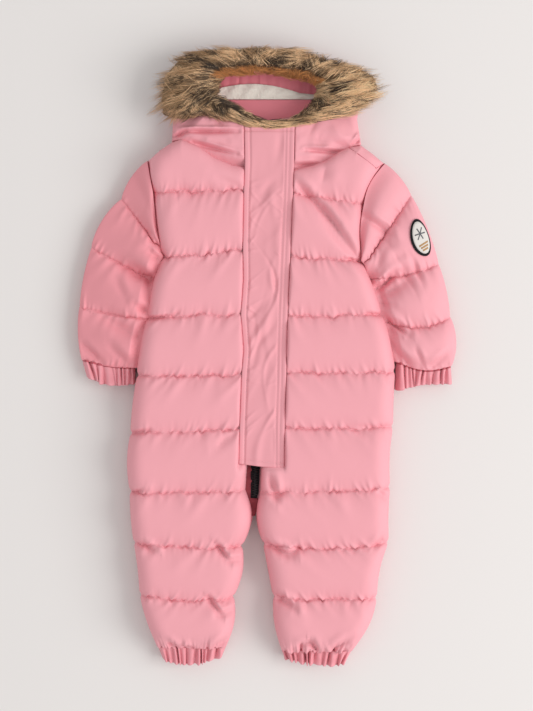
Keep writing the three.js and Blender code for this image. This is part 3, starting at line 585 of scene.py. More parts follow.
for side in ("right", "left"):
    low, high = back_points(side)
    piece = skin(f"{side} back", low, high)
    give(piece, "shell", shell, f"{side}_back")

# Sleeves
# Flattened padded tubes from the armhole to the cuff, four puffed rows each, the
# upper side puckered at its stitched rings.
ARMHOLE_END = {"right": 1.74, "left": 1.9}  # row of the body's side where the sleeve's seam ends
# inner end y, outer end x and y, sag, bulge of the row above
RINGS = {
    "right": [
        (132.6, -174.6, 190.2, 0, 5),
        (94.2, -210.6, 132.6, 2, 6),
        (46.8, -225, 61.2, 2, 2),
        (-12.6, -222.4, -3, 3, 3),
    ],
    "left": [
        (112.2, 172.8, 195, 0, 3),
        (94.2, 205.8, 112.2, 4, 3),
        (43.8, 219.6, 48.6, 10, 2),
        (-4.2, 221.4, -10.2, 8, 6),
    ],
}
# creases of the sleeves: from, to, depth, width
SLEEVE_FOLDS = [
    (-178, 112, -122, 78, 9, 10),
    (-156, 104, -124, 84, 5, 4),
    (-198, 48, -142, 18, 9, 10),
    (128, 66, 168, 92, 12, 11),
    (126, 46, 152, 30, 10, 6),
    (128, 100, 140, 130, 5, 8),
    (134, 150, 150, 128, 5, 8),
    (-142, 130, -128.4, 114, 7, 3.5),
    (-160, 110, -130, 88, 6, 5),
    (-158, 62, -138, 53, 9, 4),
    (-182, 96, -168, 70, 3, 5),
    (-224.4, 17.4, -200, -4, 6, 4),
    (-192, 18, -166, -8, 5, 5),
    (-160, 14, -146, -10, 4, 5),
    (112.8, 169.8, 146, 148, 8, 5),
    (146, 148, 163, 181, 1.5, 3),
    (126, 75, 153, 100, 17, 4.6),
    (160, 110, 177, 78, 6, 5),
    (174, 116, 185, 88, 5, 4),
    (140, 50, 168, 27, 12, 4.4),
    (194, -14, 218, 6, 6, 4),
    (150, 14, 172, -12, 6, 4),
    (176, 12, 186, -8, 4, 3),
    (128, 66, 150, 62, 6, 4),
    (150, 118, 166, 124, 4, 5),
]
SIDE_STEPS = np.linspace(0, 9, 721)
side_curve = {side: panel(side, np.array([0.0, 1.0]), SIDE_STEPS)[:, 1] for side in LINES}
SLEEVE_ROWS, SLEEVE_TOP = fine_rows(4, 26), 96  # rows down a sleeve, columns over its upper side


def side_at(side, y):
    """Where the side of the body is at height y."""
    curve = side_curve[side][::-1]
    return np.interp(y, curve[:, 1], curve[:, 0])


def ring_point(side, ring, s):
    """Points of a sleeve's stitched ring, or of the armhole for ring 0, from the body (s 0) outwards."""
    way = OUTWARD[side]
    if ring == 0:
        at = ARMHOLE_END[side] * (1 - s)
        x, y = (np.interp(at, SIDE_STEPS, side_curve[side][:, axis]) for axis in (0, 1))
        return np.stack([x + way * 0.9, y + 0.3], -1)
    inner_y, out_x, out_y, sag = RINGS[side][ring - 1][:4]
    inner_x = side_at(side, inner_y) + way * 1.5
    y = inner_y + (out_y - inner_y) * s - sag * np.sin(math.pi * s)
    return np.stack([inner_x + (out_x - inner_x) * s, y], -1)


def sleeve_plan(side, s, vs):
    """Plan of a sleeve for shares s across it and rows vs down it."""
    out = np.zeros((len(vs), len(s), 2))
    way = OUTWARD[side]
    ends = np.array([0.0, 1.0])
    for i, v in enumerate(vs):
        k = min(3, int(v))
        t = v - k
        a, b = ring_point(side, k, s), ring_point(side, k + 1, s)
        ea, eb = ring_point(side, k, ends), ring_point(side, k + 1, ends)
        out[i] = a + (b - a) * t
        chord = ea[0] + (eb[0] - ea[0]) * t
        out[i, :, 0] += (side_at(side, chord[1]) + way * 1.5 - chord[0]) * (1 - s) ** 2
        step = eb[1] - ea[1]
        swell = (RINGS[side][k][4] + 0.6) * math.sin(math.pi * t) ** 0.7 * way / np.hypot(*step)
        out[i, :, 0] -= step[1] * swell * s ** 3
        out[i, :, 1] += step[0] * swell * s ** 3
    return out


def sleeve_points(side, seed):
    """Outer and inner surface of a sleeve, each a grid that closes round it."""
    rng = np.random.default_rng(seed)
    vs = SLEEVE_ROWS
    top = np.linspace(0, math.pi, SLEEVE_TOP)
    under = np.linspace(math.pi, 2 * math.pi, 26)[1:-1]
    angles = np.concatenate([top, under])
    s = (1 - np.cos(angles)) / 2
    xy = sleeve_plan(side, s, vs)
    a, v = np.meshgrid(angles, vs)
    width = np.hypot(*(xy[:, len(top) - 1] - xy[:, 0]).T)[:, None]
    grow = ease(v / 0.45)
    share = (1 - np.cos(a)) / 2
    crown = np.minimum(35 + 8 * grow, 27 + 17 * ease((4 - v) / 0.4))
    dip = np.where(v < 0.5, 0, 1.25 * QUILT_DIP * (1 - arc(v % 1)) * np.where(v > 3.5, 0.3, 1))
    arch = np.abs(np.sin(np.minimum(a, math.pi))) ** (0.5 + 0.1 * grow)
    beside_body = ease((v - ARMHOLE_END[side] + 0.9) / 0.9)
    under_line = 0.16 * (1 - ease((v % 1) / 0.7)) * np.exp(-((share / 0.3) ** 2))
    flat = (0.5 + 0.5 * ease(share / 0.14)) * (1 - under_line)
    arch = np.where(share < 0.5, arch + (flat - arch) * beside_body * (a <= math.pi), arch)
    if side == "right":  # falls away outwards
        arch = arch * (1.1 - 0.95 * share * grow)
    else:
        arch = arch * (1 - 0.22 * np.exp(-((share / 0.25) ** 2)) * beside_body)
    seam = SIDE_SEAM + 14 * (1 - beside_body) * np.clip(1 - share / 0.5, 0, 1) * (a <= math.pi)
    high = seam + (crown - seam - dip) * arch
    low = SIDE_SEAM * (1 - curve_up(np.minimum(share, 1 - share) * width, 22))
    along = share * width
    lift, shift = np.zeros_like(high), np.zeros_like(high)
    for k in range(1, 5):
        off = (k - v) * 62  # millimetres above ring k
        near = (np.abs(off[:, 0]) < 45) & (vs <= k + 0.001 if k == 4 else True)
        raised, moved = gathers(rng, along[near], off[near], -OUTWARD[side] * 0.6 if k == 1 else 0.5)
        lift[near] += raised * 1.25
        shift[near] += moved * (0.4 if k == 4 else 1.0)
        lift[near] -= 0.8 * np.exp(-((off[near] / 1.4) ** 2))
    edges = np.clip(np.minimum(share, 1 - share) * width / 5, 0, 1) * (a <= math.pi)
    high += lift * edges - folded(xy[..., 0], xy[..., 1], SLEEVE_FOLDS) * edges
    xy[..., 1] += shift * edges * np.clip((4 - v) / 0.1, 0, 1)
    xy[..., 0] -= OUTWARD[side] * (1.9 + 1.7 * beside_body) * np.clip(1 - share / 0.1, 0, 1)
    outer = np.dstack([xy, np.where(a <= math.pi, np.maximum(high, SIDE_SEAM), low)])
    inner_xy = sleeve_plan(side, 0.045 + 0.91 * s, vs)
    level = SIDE_SEAM + np.where(np.abs(np.sin(a)) < 0.01, 0.5, np.where(a < math.pi, 1, 0))
    return outer, np.dstack([inner_xy, level])


# painted shade: the right sleeve lies turned from the light, so it gets a darker, more saturated copy of the
# shell's pink
sleeve_cloth = {"right": woven("right sleeve", (0.845, 0.312, 0.355)), "left": shell}
for side, seed in (("right", 12), ("left", 21)):
    outer, inner = sleeve_points(side, seed)
    piece = skin(f"{side} sleeve", outer, inner, ring=True)
    give(piece, "shell", sleeve_cloth[side], f"{side}_sleeve")
    if side == "left":
        badge_ground = outer

# Cuffs
# Gathered cuffs at wrists and ankles: flattened tubes whose small pleats run from
# the seam to the hem, each pleat with its own width and height.
# node, two ends and bow of the seam, two ends and bow of the hem, number of pleats, height
CUFFS = [
    ("right_sleeve_cuff", (-222.4, -3.5), (-158.6, -13.1), 3, (-217.4, -23.4), (-158.4, -31), 6, 9, 21),
    ("left_sleeve_cuff", (155, -5.6), (221.4, -11.6), 8, (154, -40.2), (222.8, -31.8), -3, 10, 21),
    ("right_leg_cuff", (-131.4, -347.4), (-49.2, -347.4), 0, (-126, -363), (-53.4, -358.4), 7.5, 11, 22),
    ("left_leg_cuff", (17.4, -351), (102, -352.2), 0, (20.4, -361.5), (94.4, -367.5), 4, 11, 22),
]


def cuff_points(rng, start, end, top_bow, hem_start, hem_end, hem_bow, folds, high):
    """Outer and inner surface of a cuff between its seam and its hem, each given by two ends and a bow."""
    fine = folds * 14
    upper = np.linspace(0, 1, fine)
    s = np.concatenate([upper, np.linspace(1, 0, 26)[1:-1]])
    on_top = np.arange(len(s)) < fine
    width = math.dist(start, end)
    knots = np.cumsum(rng.uniform(0.4, 1.6, folds))
    pleats = np.arange(folds + 1)
    phase = np.interp(upper, np.concatenate([[0], knots / knots[-1]]), pleats)
    ends = [np.interp(phase, pleats, 0.25 + 1.9 * rng.random(folds + 1) ** 1.4) for _ in (0, 1)]
    lean = np.interp(phase, pleats, rng.uniform(0.6, 1.7, folds + 1))
    lobe = np.abs(np.sin(math.pi * (phase % 1) ** lean)) ** 0.8 - 0.5
    slant = np.interp(upper * folds, pleats, rng.uniform(-3.6, 3.6, folds + 1))
    ts = np.linspace(0, 1, 15)
    outer = np.zeros((len(ts), len(s), 3))
    inner = np.zeros_like(outer)
    near = np.minimum(s, 1 - s) * width
    for i, t in enumerate(ts):
        for grid, share in ((outer, s), (inner, 5 / width + s * (1 - 10 / width))):
            for axis in (0, 1):
                a = start[axis] + (end[axis] - start[axis]) * share
                b = hem_start[axis] + (hem_end[axis] - hem_start[axis]) * share
                if axis:
                    a = a - top_bow * np.sin(math.pi * share)
                    b = b - hem_bow * np.sin(math.pi * share)
                grid[i, :, axis] = a + (b - a) * t
        lift = np.zeros(len(s))
        pleat = lobe * (ends[0] + (ends[1] - ends[0]) * t)
        lift[:fine] = pleat * (4.2 + 2.6 * t) * np.minimum(1, near[:fine] / 4)
        rolled = 1 - 0.25 * math.sin(math.pi * min(1, t * 1.3)) + 0.06 * (t > 0.8)
        top = high / 2 + (high / 2 - 2) * curve_up(near, 12) * rolled + lift
        low = (high / 2 - 1.5) * (1 - curve_up(near, 9))
        outer[i, :, 2] = np.where(on_top, top, low)
        inner[i, :, 2] = high / 2 + np.where(on_top, 0.5, -0.5)
        outer[i, :fine, 1] -= pleat * 2.2 * t
        outer[i, :fine, 0] += slant * t * np.minimum(1, near[:fine] / 6)
    return outer, inner


cuff_cloth = woven("cuff", (0.79, 0.33, 0.375), 0.55, lumps=0.0001)
for number, (node, *sizes) in enumerate(CUFFS):
    outer, inner = cuff_points(np.random.default_rng(50 + number), *sizes)
    piece = skin(node.replace("_", " "), outer, inner, ring=True)
    over = [p for p in outer[0] if p[2] > outer[0][:, 2].max() * 0.55]
    # a dark rod along the cuff's seam: painted shade for the groove where the cuff meets the sleeve or the
    # leg
    seam_line(node.replace("_", " ") + " seam", [(x, y + 0.8, z - 0.2) for x, y, z in over], 1.3, seam_painted_shade)
    give(piece, "shell", cuff_cloth, node)

# Hood
# Two padded hood sides that run from the zip round to the top, and the padded back
# of the hood on the floor, hollowed where the linings show in the mouth.
# upper end of the zip's edge, outer edge from the neck up, edge of the mouth from the zip up
HOOD_SLOT = {"right": (-8.4, 283), "left": (7.8, 283)}
HOOD_RIM = {
    "right": [
        (-114, 258.2), (-112.4, 285), (-111.6, 309), (-106.8, 333), (-86.4, 349.8), (-62.4, 359.4),
        (-2.7, 361.8),
    ],
    "left": [(112.8, 254.6), (108, 285), (111.6, 309), (102, 333), (79, 348), (54, 357), (-2.1, 361)],
}
MOUTH = {
    "right": [
        HOOD_SLOT["right"], (-26, 286), (-48, 297), (-61, 309), (-65, 322), (-59, 334), (-36, 341),
        (-2.7, 342),
    ],
    "left": [
        HOOD_SLOT["left"], (30, 286), (48, 295), (59, 306), (67, 319), (62, 330), (38, 338), (-2.1, 342),
    ],
}
# creases of the hood: from, to, depth, width
HOOD_FOLDS = {
    "right": [
        (-112, 270, -34, 269, 9, 2.4),
        (-88, 256, -36, 242, 8, 2.6),
        (-114, 263, -97, 269, 10, 2.6),
        (-66, 284, -50, 277, 3, 4),
    ],
    "left": [
        (46, 247, 90, 245, 8, 2.4),
        (31, 229, 60, 231, 6, 2.4),
        (104, 254, 117, 270, 10, 2.4),
        (62, 262, 100, 250, 2.5, 6),
        (48, 262, 60, 285, 2, 7),
    ],
}
# y, left edge and right edge
HOOD_BACK = [
    (249.6, -60, 50), (258.4, -113.4, 109.4), (285, -111.9, 107.6), (309, -111.6, 111.6), (333, -106.8, 102),
    (348, -86.4, 79), (360, -58, 46),
]
HOOD_TOP = 361


def hood_points(side, seed):
    """Upper surface of a hood side, from its outer edge to the mouth."""
    rng = np.random.default_rng(seed)
    us, vs = np.linspace(0, 1, 84), np.linspace(0, 1, 190)
    xy = np.zeros((len(vs), len(us), 2))
    for i, v in enumerate(vs):
        if v <= 0.4:
            out = on_line(NECK[side], v / 0.4) + (0, 0.6 - 1.3 * (v < 0.36))
        else:
            out = on_line(HOOD_RIM[side], (v - 0.4) / 0.6)
        xy[i] = out + (on_line(MOUTH[side], v ** 0.9) - out) * us[:, None]
    x, y = xy[..., 0], xy[..., 1]
    u, v = np.meshgrid(us, vs)
    d = np.hypot(x - x[:, :1], y - y[:, :1])
    neck = 1 - ease((v - 0.34) / 0.09)
    edge = FREE + (33 - FREE) * neck
    under_fur = ease((y - 278 - 0.27 * np.maximum(0, np.abs(x) - 45)) / 13)
    swell = neck * (9.4 - 3.6 * np.clip(v / 0.4, 0, 1)) * ease(d / 15) * (1 - under_fur)
    soft = np.array([wander(rng, len(us), 0.4, 12) for _ in range(len(vs) // 6 + 2)])
    rows = np.linspace(0, len(soft) - 1.001, len(vs))
    k = rows.astype(int)
    soft = soft[k] + (soft[k + 1] - soft[k]) * (rows - k)[:, None]
    base = edge + (33.8 - edge) * curve_up(d, 22) + swell + soft * neck * (1 - under_fur) * ease(d / 6)
    base -= folded(x, y, HOOD_FOLDS[side])
    low = (29 - UNDER) / (42 - UNDER)
    slot = low + (1 - low) * curve_up(v * 260, 14)
    z = np.clip(UNDER + (base - UNDER) * slot, FREE, pressed(x, y))
    return np.dstack([xy, z])


for side, seed in (("right", 31), ("left", 32)):
    piece = padded_skin(f"hood {side} side", hood_points(side, seed), UNDER)
    give(piece, "shell", shell, f"hood_{side}")


def hood_back_points():
    """Under and upper surface of the hood's back, hollow under the mouth."""
    us, vs = np.linspace(0, 1, 60), np.linspace(0, 1, 34)
    neck = BACK_NECK["right"][::-1] + BACK_NECK["left"]
    foot = on_line(neck, us)[:, 1] + 0.7
    ys, lefts, rights = np.array(HOOD_BACK).T
    y = HOOD_TOP + (foot[None, :] - HOOD_TOP) * vs[:, None]
    held = np.maximum(y, ys[1])
    left, right = np.interp(held, ys, lefts), np.interp(held, ys, rights)
    x = left + (right - left) * us[None, :]
    edge = np.minimum(np.minimum(x - left, right - x), HOOD_TOP - y)
    low = SIDE_SEAM * (1 - curve_up(edge, 25))
    inside = np.minimum(np.minimum(x + 80, 82 - x), np.minimum(y - 256, 352 - y))
    high = np.maximum(20 + (8.8 - 20) * ease(inside / 8 + 1), low + 2.5)
    return np.dstack([x, y, low]), np.dstack([x, y, high])


low, high = hood_back_points()
piece = skin("hood back", low, high)
give(piece, "shell", shell, "hood_back")

# Linings in the mouth
# Rose lining with small gathers at the top, a cream fleece band below it, and the
# rose neck facing that slopes up towards the front of the hood.
LINING = (0.74, 0.235, 0.28)


def band(x0, x1, low_y, high_y, level, across=120, along=20):
    """Upper and under surface of a band of cloth across the mouth."""
    us, vs = np.linspace(0, 1, across), np.linspace(0, 1, along)
    u, v = np.meshgrid(us, vs)
    x = x0 + (x1 - x0) * u
    y = high_y(u) + (low_y - high_y(u)) * v
    low, thick = level(u, v)
    return np.dstack([x, y, low + thick]), np.dstack([x, y, low + 0 * x])


def lining_level(u, v):
    """Height and thickness of the gathered lining."""
    gather = 0.5 * np.cos(u * 23 * math.pi)
    for at, wide, high in ((0.2, 0.012, 0.9), (0.42, 0.01, 0.9), (0.22, 0.012, -1.1), (0.86, 0.012, -0.8)):
        gather += high * np.exp(-(((u - at) / wide) ** 2))
    return 10.2 + 0 * u, 1.9 + gather * (0.4 + 0.6 * v)


def fleece_level(u, v):
    """Height and thickness of the fleece band, uneven like pile."""
    rng = np.random.default_rng(5)
    pile = 0.9 * rng.random(u.shape) + 0.5 * np.sin(u * 37 + 4 * v)
    return 13 + 0 * u, 1.0 + 1.6 * np.sin(math.pi * np.clip(v, 0.06, 0.94)) + pile


def fleece_top(u):
    """Upper edge of the fleece band, bowed and lower towards the left."""
    return 322 + 8 * np.sin(math.pi * np.clip(u * 1.12 + 0.06, 0, 1)) - 6 * u ** 2


def facing_level(u, v):
    """Height and thickness of the neck facing."""
    return 12.9 + 4.5 * v + 0.5 * np.sin(u * 9) * np.sin(math.pi * v), 2.0 + 0 * u


rose = woven("hood lining", LINING, 0.65, lumps=0.0001)
fleece = woven("fleece", (0.92, 0.79, 0.7), 0.95, 0.6, weave=0.0004, lumps=0.0006)
lining = skin("hood lining", *band(-62, 66, 312, lambda u: 344, lining_level))
give(lining, "lining", rose, "hood_lining")
neck_fleece = skin("neck fleece", *band(-60, 60, 310.6, fleece_top, fleece_level))
give(neck_fleece, "fleece", fleece, "neck_fleece")
facing = skin("neck facing", *band(-56, 58, 270, lambda u: 310.1, facing_level))
give(facing, "lining", rose, "neck_facing")

# Storm flap
# Flat strip over the zip with soft slanting creases, sewn down along its left edge,
# with a double row of topstitching along its free edge.
FLAP_TOP, FLAP_LOW = FLAP[0][0], 39.3
FLAP_STITCH = (0.93, 0.5, 0.545)
# how far the topstitching lies from the left, the right, the top and the foot edge
LEFT_SEAM, RIGHT_SEAMS, TOP_SEAM, FOOT_SEAM = 6.6, (5.6, 10.2), 5.5, 6.5
FLAP_ROWS = 330


def flap_surface(us, vs):
    """Upper surface of the flap: soft slanting creases between its rows of topstitching."""
    rng = np.random.default_rng(77)
    u, v = np.meshgrid(us, vs)
    foot = FLAP_END + 4.4 - 6.6 * u
    y = FLAP_TOP + (foot - FLAP_TOP) * v
    left, right = flap_edges(y)
    x = left + (right - left) * u
    from_left, from_right = x - left, right - x
    wave = 0.7 * np.sin(v * 31 + u * 3) * np.sin(math.pi * u) + 0.5 * np.sin(v * 17 + 1)
    main = ease((from_left - 7) / 3) * ease((from_right - 11) / 3)
    for _ in range(34):
        cx, cy = rng.uniform(-16, 20), rng.uniform(-125, 262)
        angle = rng.uniform(0.75, 1.75)
        reach, wide, deep = rng.uniform(14, 38), rng.uniform(2.4, 5.0), rng.uniform(-2.4, 2.2)
        along = (x - cx) * math.cos(angle) + (y - cy) * math.sin(angle)
        across = -(x - cx) * math.sin(angle) + (y - cy) * math.cos(angle)
        across += rng.uniform(-0.012, 0.012) * along ** 2
        wave += main * deep * np.exp(-((along / reach) ** 2) - (across / wide) ** 2)
    for line_y in (201, 130, 52, -18, -84, 165, 92):
        for _ in range(5):
            cy, slant = line_y + rng.uniform(-12, 12), rng.uniform(-1.1, 1.1)
            reach, wide, deep = rng.uniform(5, 16), rng.uniform(1.4, 3), rng.uniform(0.4, 1.3)
            edge = from_left - 9 if rng.random() < 0.7 else from_right - 12
            wave += main * deep * np.exp(-((edge / reach) ** 2) - ((y - cy - slant * edge) / wide) ** 2)
    wave -= 1.3 * np.exp(-(((from_left - LEFT_SEAM) / 1.1) ** 2))
    for seam in RIGHT_SEAMS:
        wave -= 0.8 * np.exp(-(((from_right - seam) / 1.1) ** 2))
    wave -= 1.7 * np.exp(-(((FLAP_TOP - y - TOP_SEAM) / 1.2) ** 2))
    wave -= 1.0 * np.exp(-(((y - foot - FOOT_SEAM) / 1.1) ** 2))
    edge = np.minimum(np.minimum(from_left, from_right), np.minimum(FLAP_TOP - y, y - foot))
    round_off = -0.9 * (1 - curve_up(edge, 1.2))
    high = FLAP_LOW + 2.5 + wave + round_off + 1.0 * ease(u * 1.5 - 0.5)
    return np.dstack([x, y, high])


flap_top = flap_surface(np.linspace(0, 1, 60), np.linspace(0, 1, FLAP_ROWS))
flap_low = flap_top.copy()
flap_low[..., 2] = np.maximum(flap_low[..., 2] - 2.0, UNDER_FLAP)
flap_cloth = woven("flap", (0.8, 0.345, 0.39), 0.52, lumps=0.00012)
flap = skin("storm flap", flap_top, flap_low)
give(flap, "shell", flap_cloth, "storm_flap")


def rod_faces(base):
    """Faces of a rod of four rings with four corners each, whose points start at number base."""
    ends = [tuple(base + k for k in (3, 2, 1, 0)), tuple(base + k for k in (12, 13, 14, 15))]
    return grid_faces(4, 4, base, ring=True) + ends


def stitches(name, lines, material, gap=3.4, length=2.3, thick=0.42):
    """Short closed pieces of thread along lines of points in millimetres."""
    points, faces = [], []
    for line in lines:
        line = np.array(line, float)
        run = np.concatenate([[0], np.cumsum(np.linalg.norm(np.diff(line, axis=0), axis=1))])
        for start in np.arange(0.5, run[-1] - length, gap):
            a, b = (np.array([np.interp(at, run, axis) for axis in line.T]) for at in (start, start + length))
            side = np.cross((b - a) / np.linalg.norm(b - a), (0, 0, 1))
            side /= np.linalg.norm(side)
            faces += rod_faces(len(points))
            for share, size, drop in ((0, 0.4, 0.3), (0.25, 1, 0), (0.75, 1, 0), (1, 0.4, 0.3)):
                centre = a + (b - a) * share - (0, 0, drop)
                for turn in (0.25 * math.pi, 0.75 * math.pi, 1.25 * math.pi, 1.75 * math.pi):
                    corner = side * math.cos(turn) + np.array((0, 0, 1)) * math.sin(turn)
                    points.append(centre + thick / 2 * size * corner)
    give(outside_out(mesh_from(name, metres(np.array(points)), faces)), "shell", material)


PROUD = 0.18


def on_flap(offset, from_left):
    """Line down the flap at one distance from its left or right edge, a little proud of the cloth."""
    width = flap_top[:, -1, 0] - flap_top[:, 0, 0]
    share = offset / width if from_left else 1 - offset / width
    cols = share * (flap_top.shape[1] - 1)
    k = cols.astype(int)
    rows = np.arange(len(k))
    near = flap_top[rows, k]
    return near + (flap_top[rows, k + 1] - near) * (cols - k)[:, None] + (0, 0, PROUD)


thread = woven("thread", FLAP_STITCH, 0.5, weave=0, lumps=0)


def row_of(d):
    """Row of the flap's surface at a distance from its top."""
    return int(round(d / (FLAP_TOP - FLAP_END) * (FLAP_ROWS - 1)))


lines = [on_flap(LEFT_SEAM, True)] + [on_flap(d, False)[2:-2] for d in RIGHT_SEAMS]
for row in (row_of(TOP_SEAM), FLAP_ROWS - 1 - row_of(FOOT_SEAM)):
    lines.append(flap_top[row, 8:-3] + (0, 0, PROUD))
stitches("flap stitching", lines, thread)

# Zip and slider
# Black tapes and closed coil between the fronts, seen below the flap, with a dark facing
# strip along its right side, painted shade for the fold at the crotch; the slider lies at the top under the
# flap.
ZIP_END, ZIP_TOP = -168.6, 272.0
FACING_END = -190
TAPE = (0.012, 0.011, 0.013)
front_edge = {side: panel(side, np.array([0.0, 1.0]), np.linspace(0, 9, 1441))[:, 0] for side in LINES}


def zip_edge(side, y):
    """Where the front's and the hood's edge beside the zip is at height y."""
    start = NECK[side][0]
    curve = front_edge[side][::-1]
    below = np.interp(y, curve[:, 1], curve[:, 0])
    slot = HOOD_SLOT[side]
    above = start[0] + (slot[0] - start[0]) * (y - start[1]) / (slot[1] - start[1])
    return np.where(y > start[1], above, below)


def zip_points():
    """Upper and under surface of the zip's tapes."""
    ys = np.linspace(ZIP_TOP, ZIP_END, 150)
    us = np.linspace(0, 1, 17)
    inset = 0.6 + 1.0 * ease((-100 - ys) / 40)
    left, right = np.maximum(zip_edge("right", ys) + inset, -19.4), zip_edge("left", ys) - inset
    x = left[:, None] + (right - left)[:, None] * us[None, :]
    y = ys[:, None] + 0 * x
    high = 22.4 + 0.3 * np.sin(y * 0.3) * np.abs(2 * us - 1)
    return np.dstack([x, y, high]), np.dstack([x, y, 20.9 + 0 * x])


tape_cloth = woven("zip tape", TAPE, 0.6, sheen=0.1, weave=0.0001, lumps=0)
outer, inner = zip_points()
tape = skin("zip tape", outer, inner)
give(tape, "zip_tape", tape_cloth, "zip")


def facing_strip():
    """Dark strip between the right front and the zip, down to the point of the crotch: painted shade for the
    deep fold there.
    """
    ys = np.linspace(-118, FACING_END, 60)
    us = np.linspace(0, 1, 9)
    right = np.where(ys > ZIP_END, -18.2, np.interp(ys, (FACING_END, ZIP_END), (-14.0, -9.5)))
    left = np.minimum(zip_edge("right", ys) - 3.5, right - 2)
    x = left[:, None] + (right - left)[:, None] * us[None, :]
    y = ys[:, None] + 0 * x
    high = 23.2 + 0.6 * np.sin(y * 0.5) - 1.4 * us[None, :]
    return np.dstack([x, y, high]), np.dstack([x, y, high - 1.2])


# painted shade: a near-black rose for the shade deep in the fold at the crotch
strip_painted_shade = woven("zip facing", (0.28, 0.05, 0.065), 0.6, lumps=0)
give(skin("zip facing", *facing_strip()), "lining", strip_painted_shade)


def teeth():
    """The closed coil: small blocks that lie left and right of the middle in turn."""
    points, faces = [], []
    ys = np.arange(ZIP_END + 3, ZIP_TOP - 2, 1.5)
    centre = (np.maximum(zip_edge("right", ys), -20.5) + zip_edge("left", ys)) / 2
    for i, (y, x) in enumerate(zip(ys, centre)):
        shift = 0.9 if i % 2 else -0.9
        faces += rod_faces(len(points))
        for dx, top in ((-2.4, 23.2), (-1.2, 25.2), (1.2, 25.2), (2.4, 23.2)):
            for dy, z in ((-0.55, 22.3), (0.55, 22.3), (0.4, top), (-0.4, top)):
                points.append((x + shift + dx, y + dy, z))
    return outside_out(mesh_from("zip coil", metres(np.array(points)), faces))


def plain(name, colour, rough, metal=0.0):
    """A material of one colour."""
    material, shader = new_material(name, rough)
    shader.inputs["Base Color"].default_value = (*colour, 1)
    shader.inputs["Metallic"].default_value = metal
    return material


give(teeth(), "zip_tape", plain("zip coil", (0.02, 0.02, 0.022), 0.35))


def slab(name, outline, low, high, bevel=0.35):
    """Flat piece of one outline with bevelled edges."""
    outline = np.array(outline, float)
    centre = outline.mean(axis=0)
    inside = centre + (outline - centre) * (1 - bevel / np.abs(outline - centre).max())
    rings = [(inside, low), (outline, low + bevel), (outline, high - bevel), (inside, high)]
    points = [(*p, z) for ring, z in rings for p in ring]
    n = len(outline)
    faces = grid_faces(4, n, ring=True) + [tuple(range(n))[::-1], tuple(range(3 * n, 4 * n))]
    return outside_out(mesh_from(name, metres(np.array(points)), faces))


slider_x = float(zip_edge("right", np.array(262.0)) + zip_edge("left", np.array(262.0))) / 2
shape = [(-3, 0), (3, 0), (4.2, 3), (4.2, 7), (3.6, 9.5), (1.4, 10.5), (1.9, 21), (1.6, 24.6), (0, 26)]
shape += [(-1.6, 24.6), (-1.9, 21), (-1.4, 10.5), (-3.6, 9.5), (-4.2, 7), (-4.2, 3)]
slider = slab("zip slider", [(slider_x - x, 266 - y) for x, y in shape], 26.6, 29.2)
give(slider, "slider_metal", plain("slider metal", (0.55, 0.55, 0.57), 0.3, 1.0), "zip_slider")

# Sleeve badge
# Oval sewn badge on the wearer's left sleeve: black stitched edge, pale ground, a
# plain grey snow crystal and three tan bars, all generic.
BADGE_ANGLE, BADGE_V = 0.755 * math.pi, 1.55
BADGE_WIDE, BADGE_LONG = 0.115 * math.pi, 0.275


def sleeve_spot(a, b, lift):
    """Point over the sleeve for a place on the badge, a and b from -1 to 1, lift in millimetres."""
    angle = BADGE_ANGLE + BADGE_WIDE * a
    row = BADGE_V + BADGE_LONG * b

    def at(angle, row):
        c = angle / math.pi * (SLEEVE_TOP - 1)
        r = float(np.interp(row, SLEEVE_ROWS, np.arange(len(SLEEVE_ROWS))))
        i, j = int(r), int(c)
        p = badge_ground[i : i + 2, j : j + 2]
        fr, fc = r - i, c - j
        return (p[0, 0] * (1 - fr) + p[1, 0] * fr) * (1 - fc) + (p[0, 1] * (1 - fr) + p[1, 1] * fr) * fc

    wide, tall = 0.16, 0.1
    near = [at(angle - wide, row), at(angle + wide, row), at(angle, row - tall), at(angle, row + tall)]
    point = (at(angle, row) * 2 + near[0] + near[1] + near[2] + near[3]) / 6
    normal = np.cross(at(min(angle + wide, 3.1), row) - near[0], near[3] - near[2])
    normal *= np.sign(normal[2]) / np.linalg.norm(normal)
    return point + normal * (lift + 0.4)


def badge_patch(name, outline, low, high, material, rings=6, node=None):
    """Closed piece of thread or cloth over an outline on the badge, between two heights over the sleeve."""
    outline = np.array(outline, float)
    centre = outline.mean(axis=0)
    n = len(outline)
    shares = np.linspace(0, 1, rings + 1)[1:]
    points, faces = [], []
    for level in (low, high):
        base = len(points)
        points.append(sleeve_spot(*centre, level))
        for share in shares:
            drop = 0.25 * (high - low) if level == high and share == 1 else 0
            points += [sleeve_spot(*(centre + (p - centre) * share), level - drop) for p in outline]
        step = 1 if level == high else -1  # the under side faces the other way
        faces += [(base, base + 1 + i, base + 1 + (i + 1) % n)[::step] for i in range(n)]
        for ring in range(rings - 1):
            a, b = base + 1 + ring * n, base + 1 + (ring + 1) * n
            faces += [(a + i, b + i, b + (i + 1) % n, a + (i + 1) % n)[::step] for i in range(n)]
    size = 1 + rings * n
    edge = 1 + (rings - 1) * n
    faces += [(edge + i, edge + (i + 1) % n, size + edge + (i + 1) % n, size + edge + i) for i in range(n)]
    return give(outside_out(mesh_from(name, metres(np.array(points)), faces)), "badge", material, node)


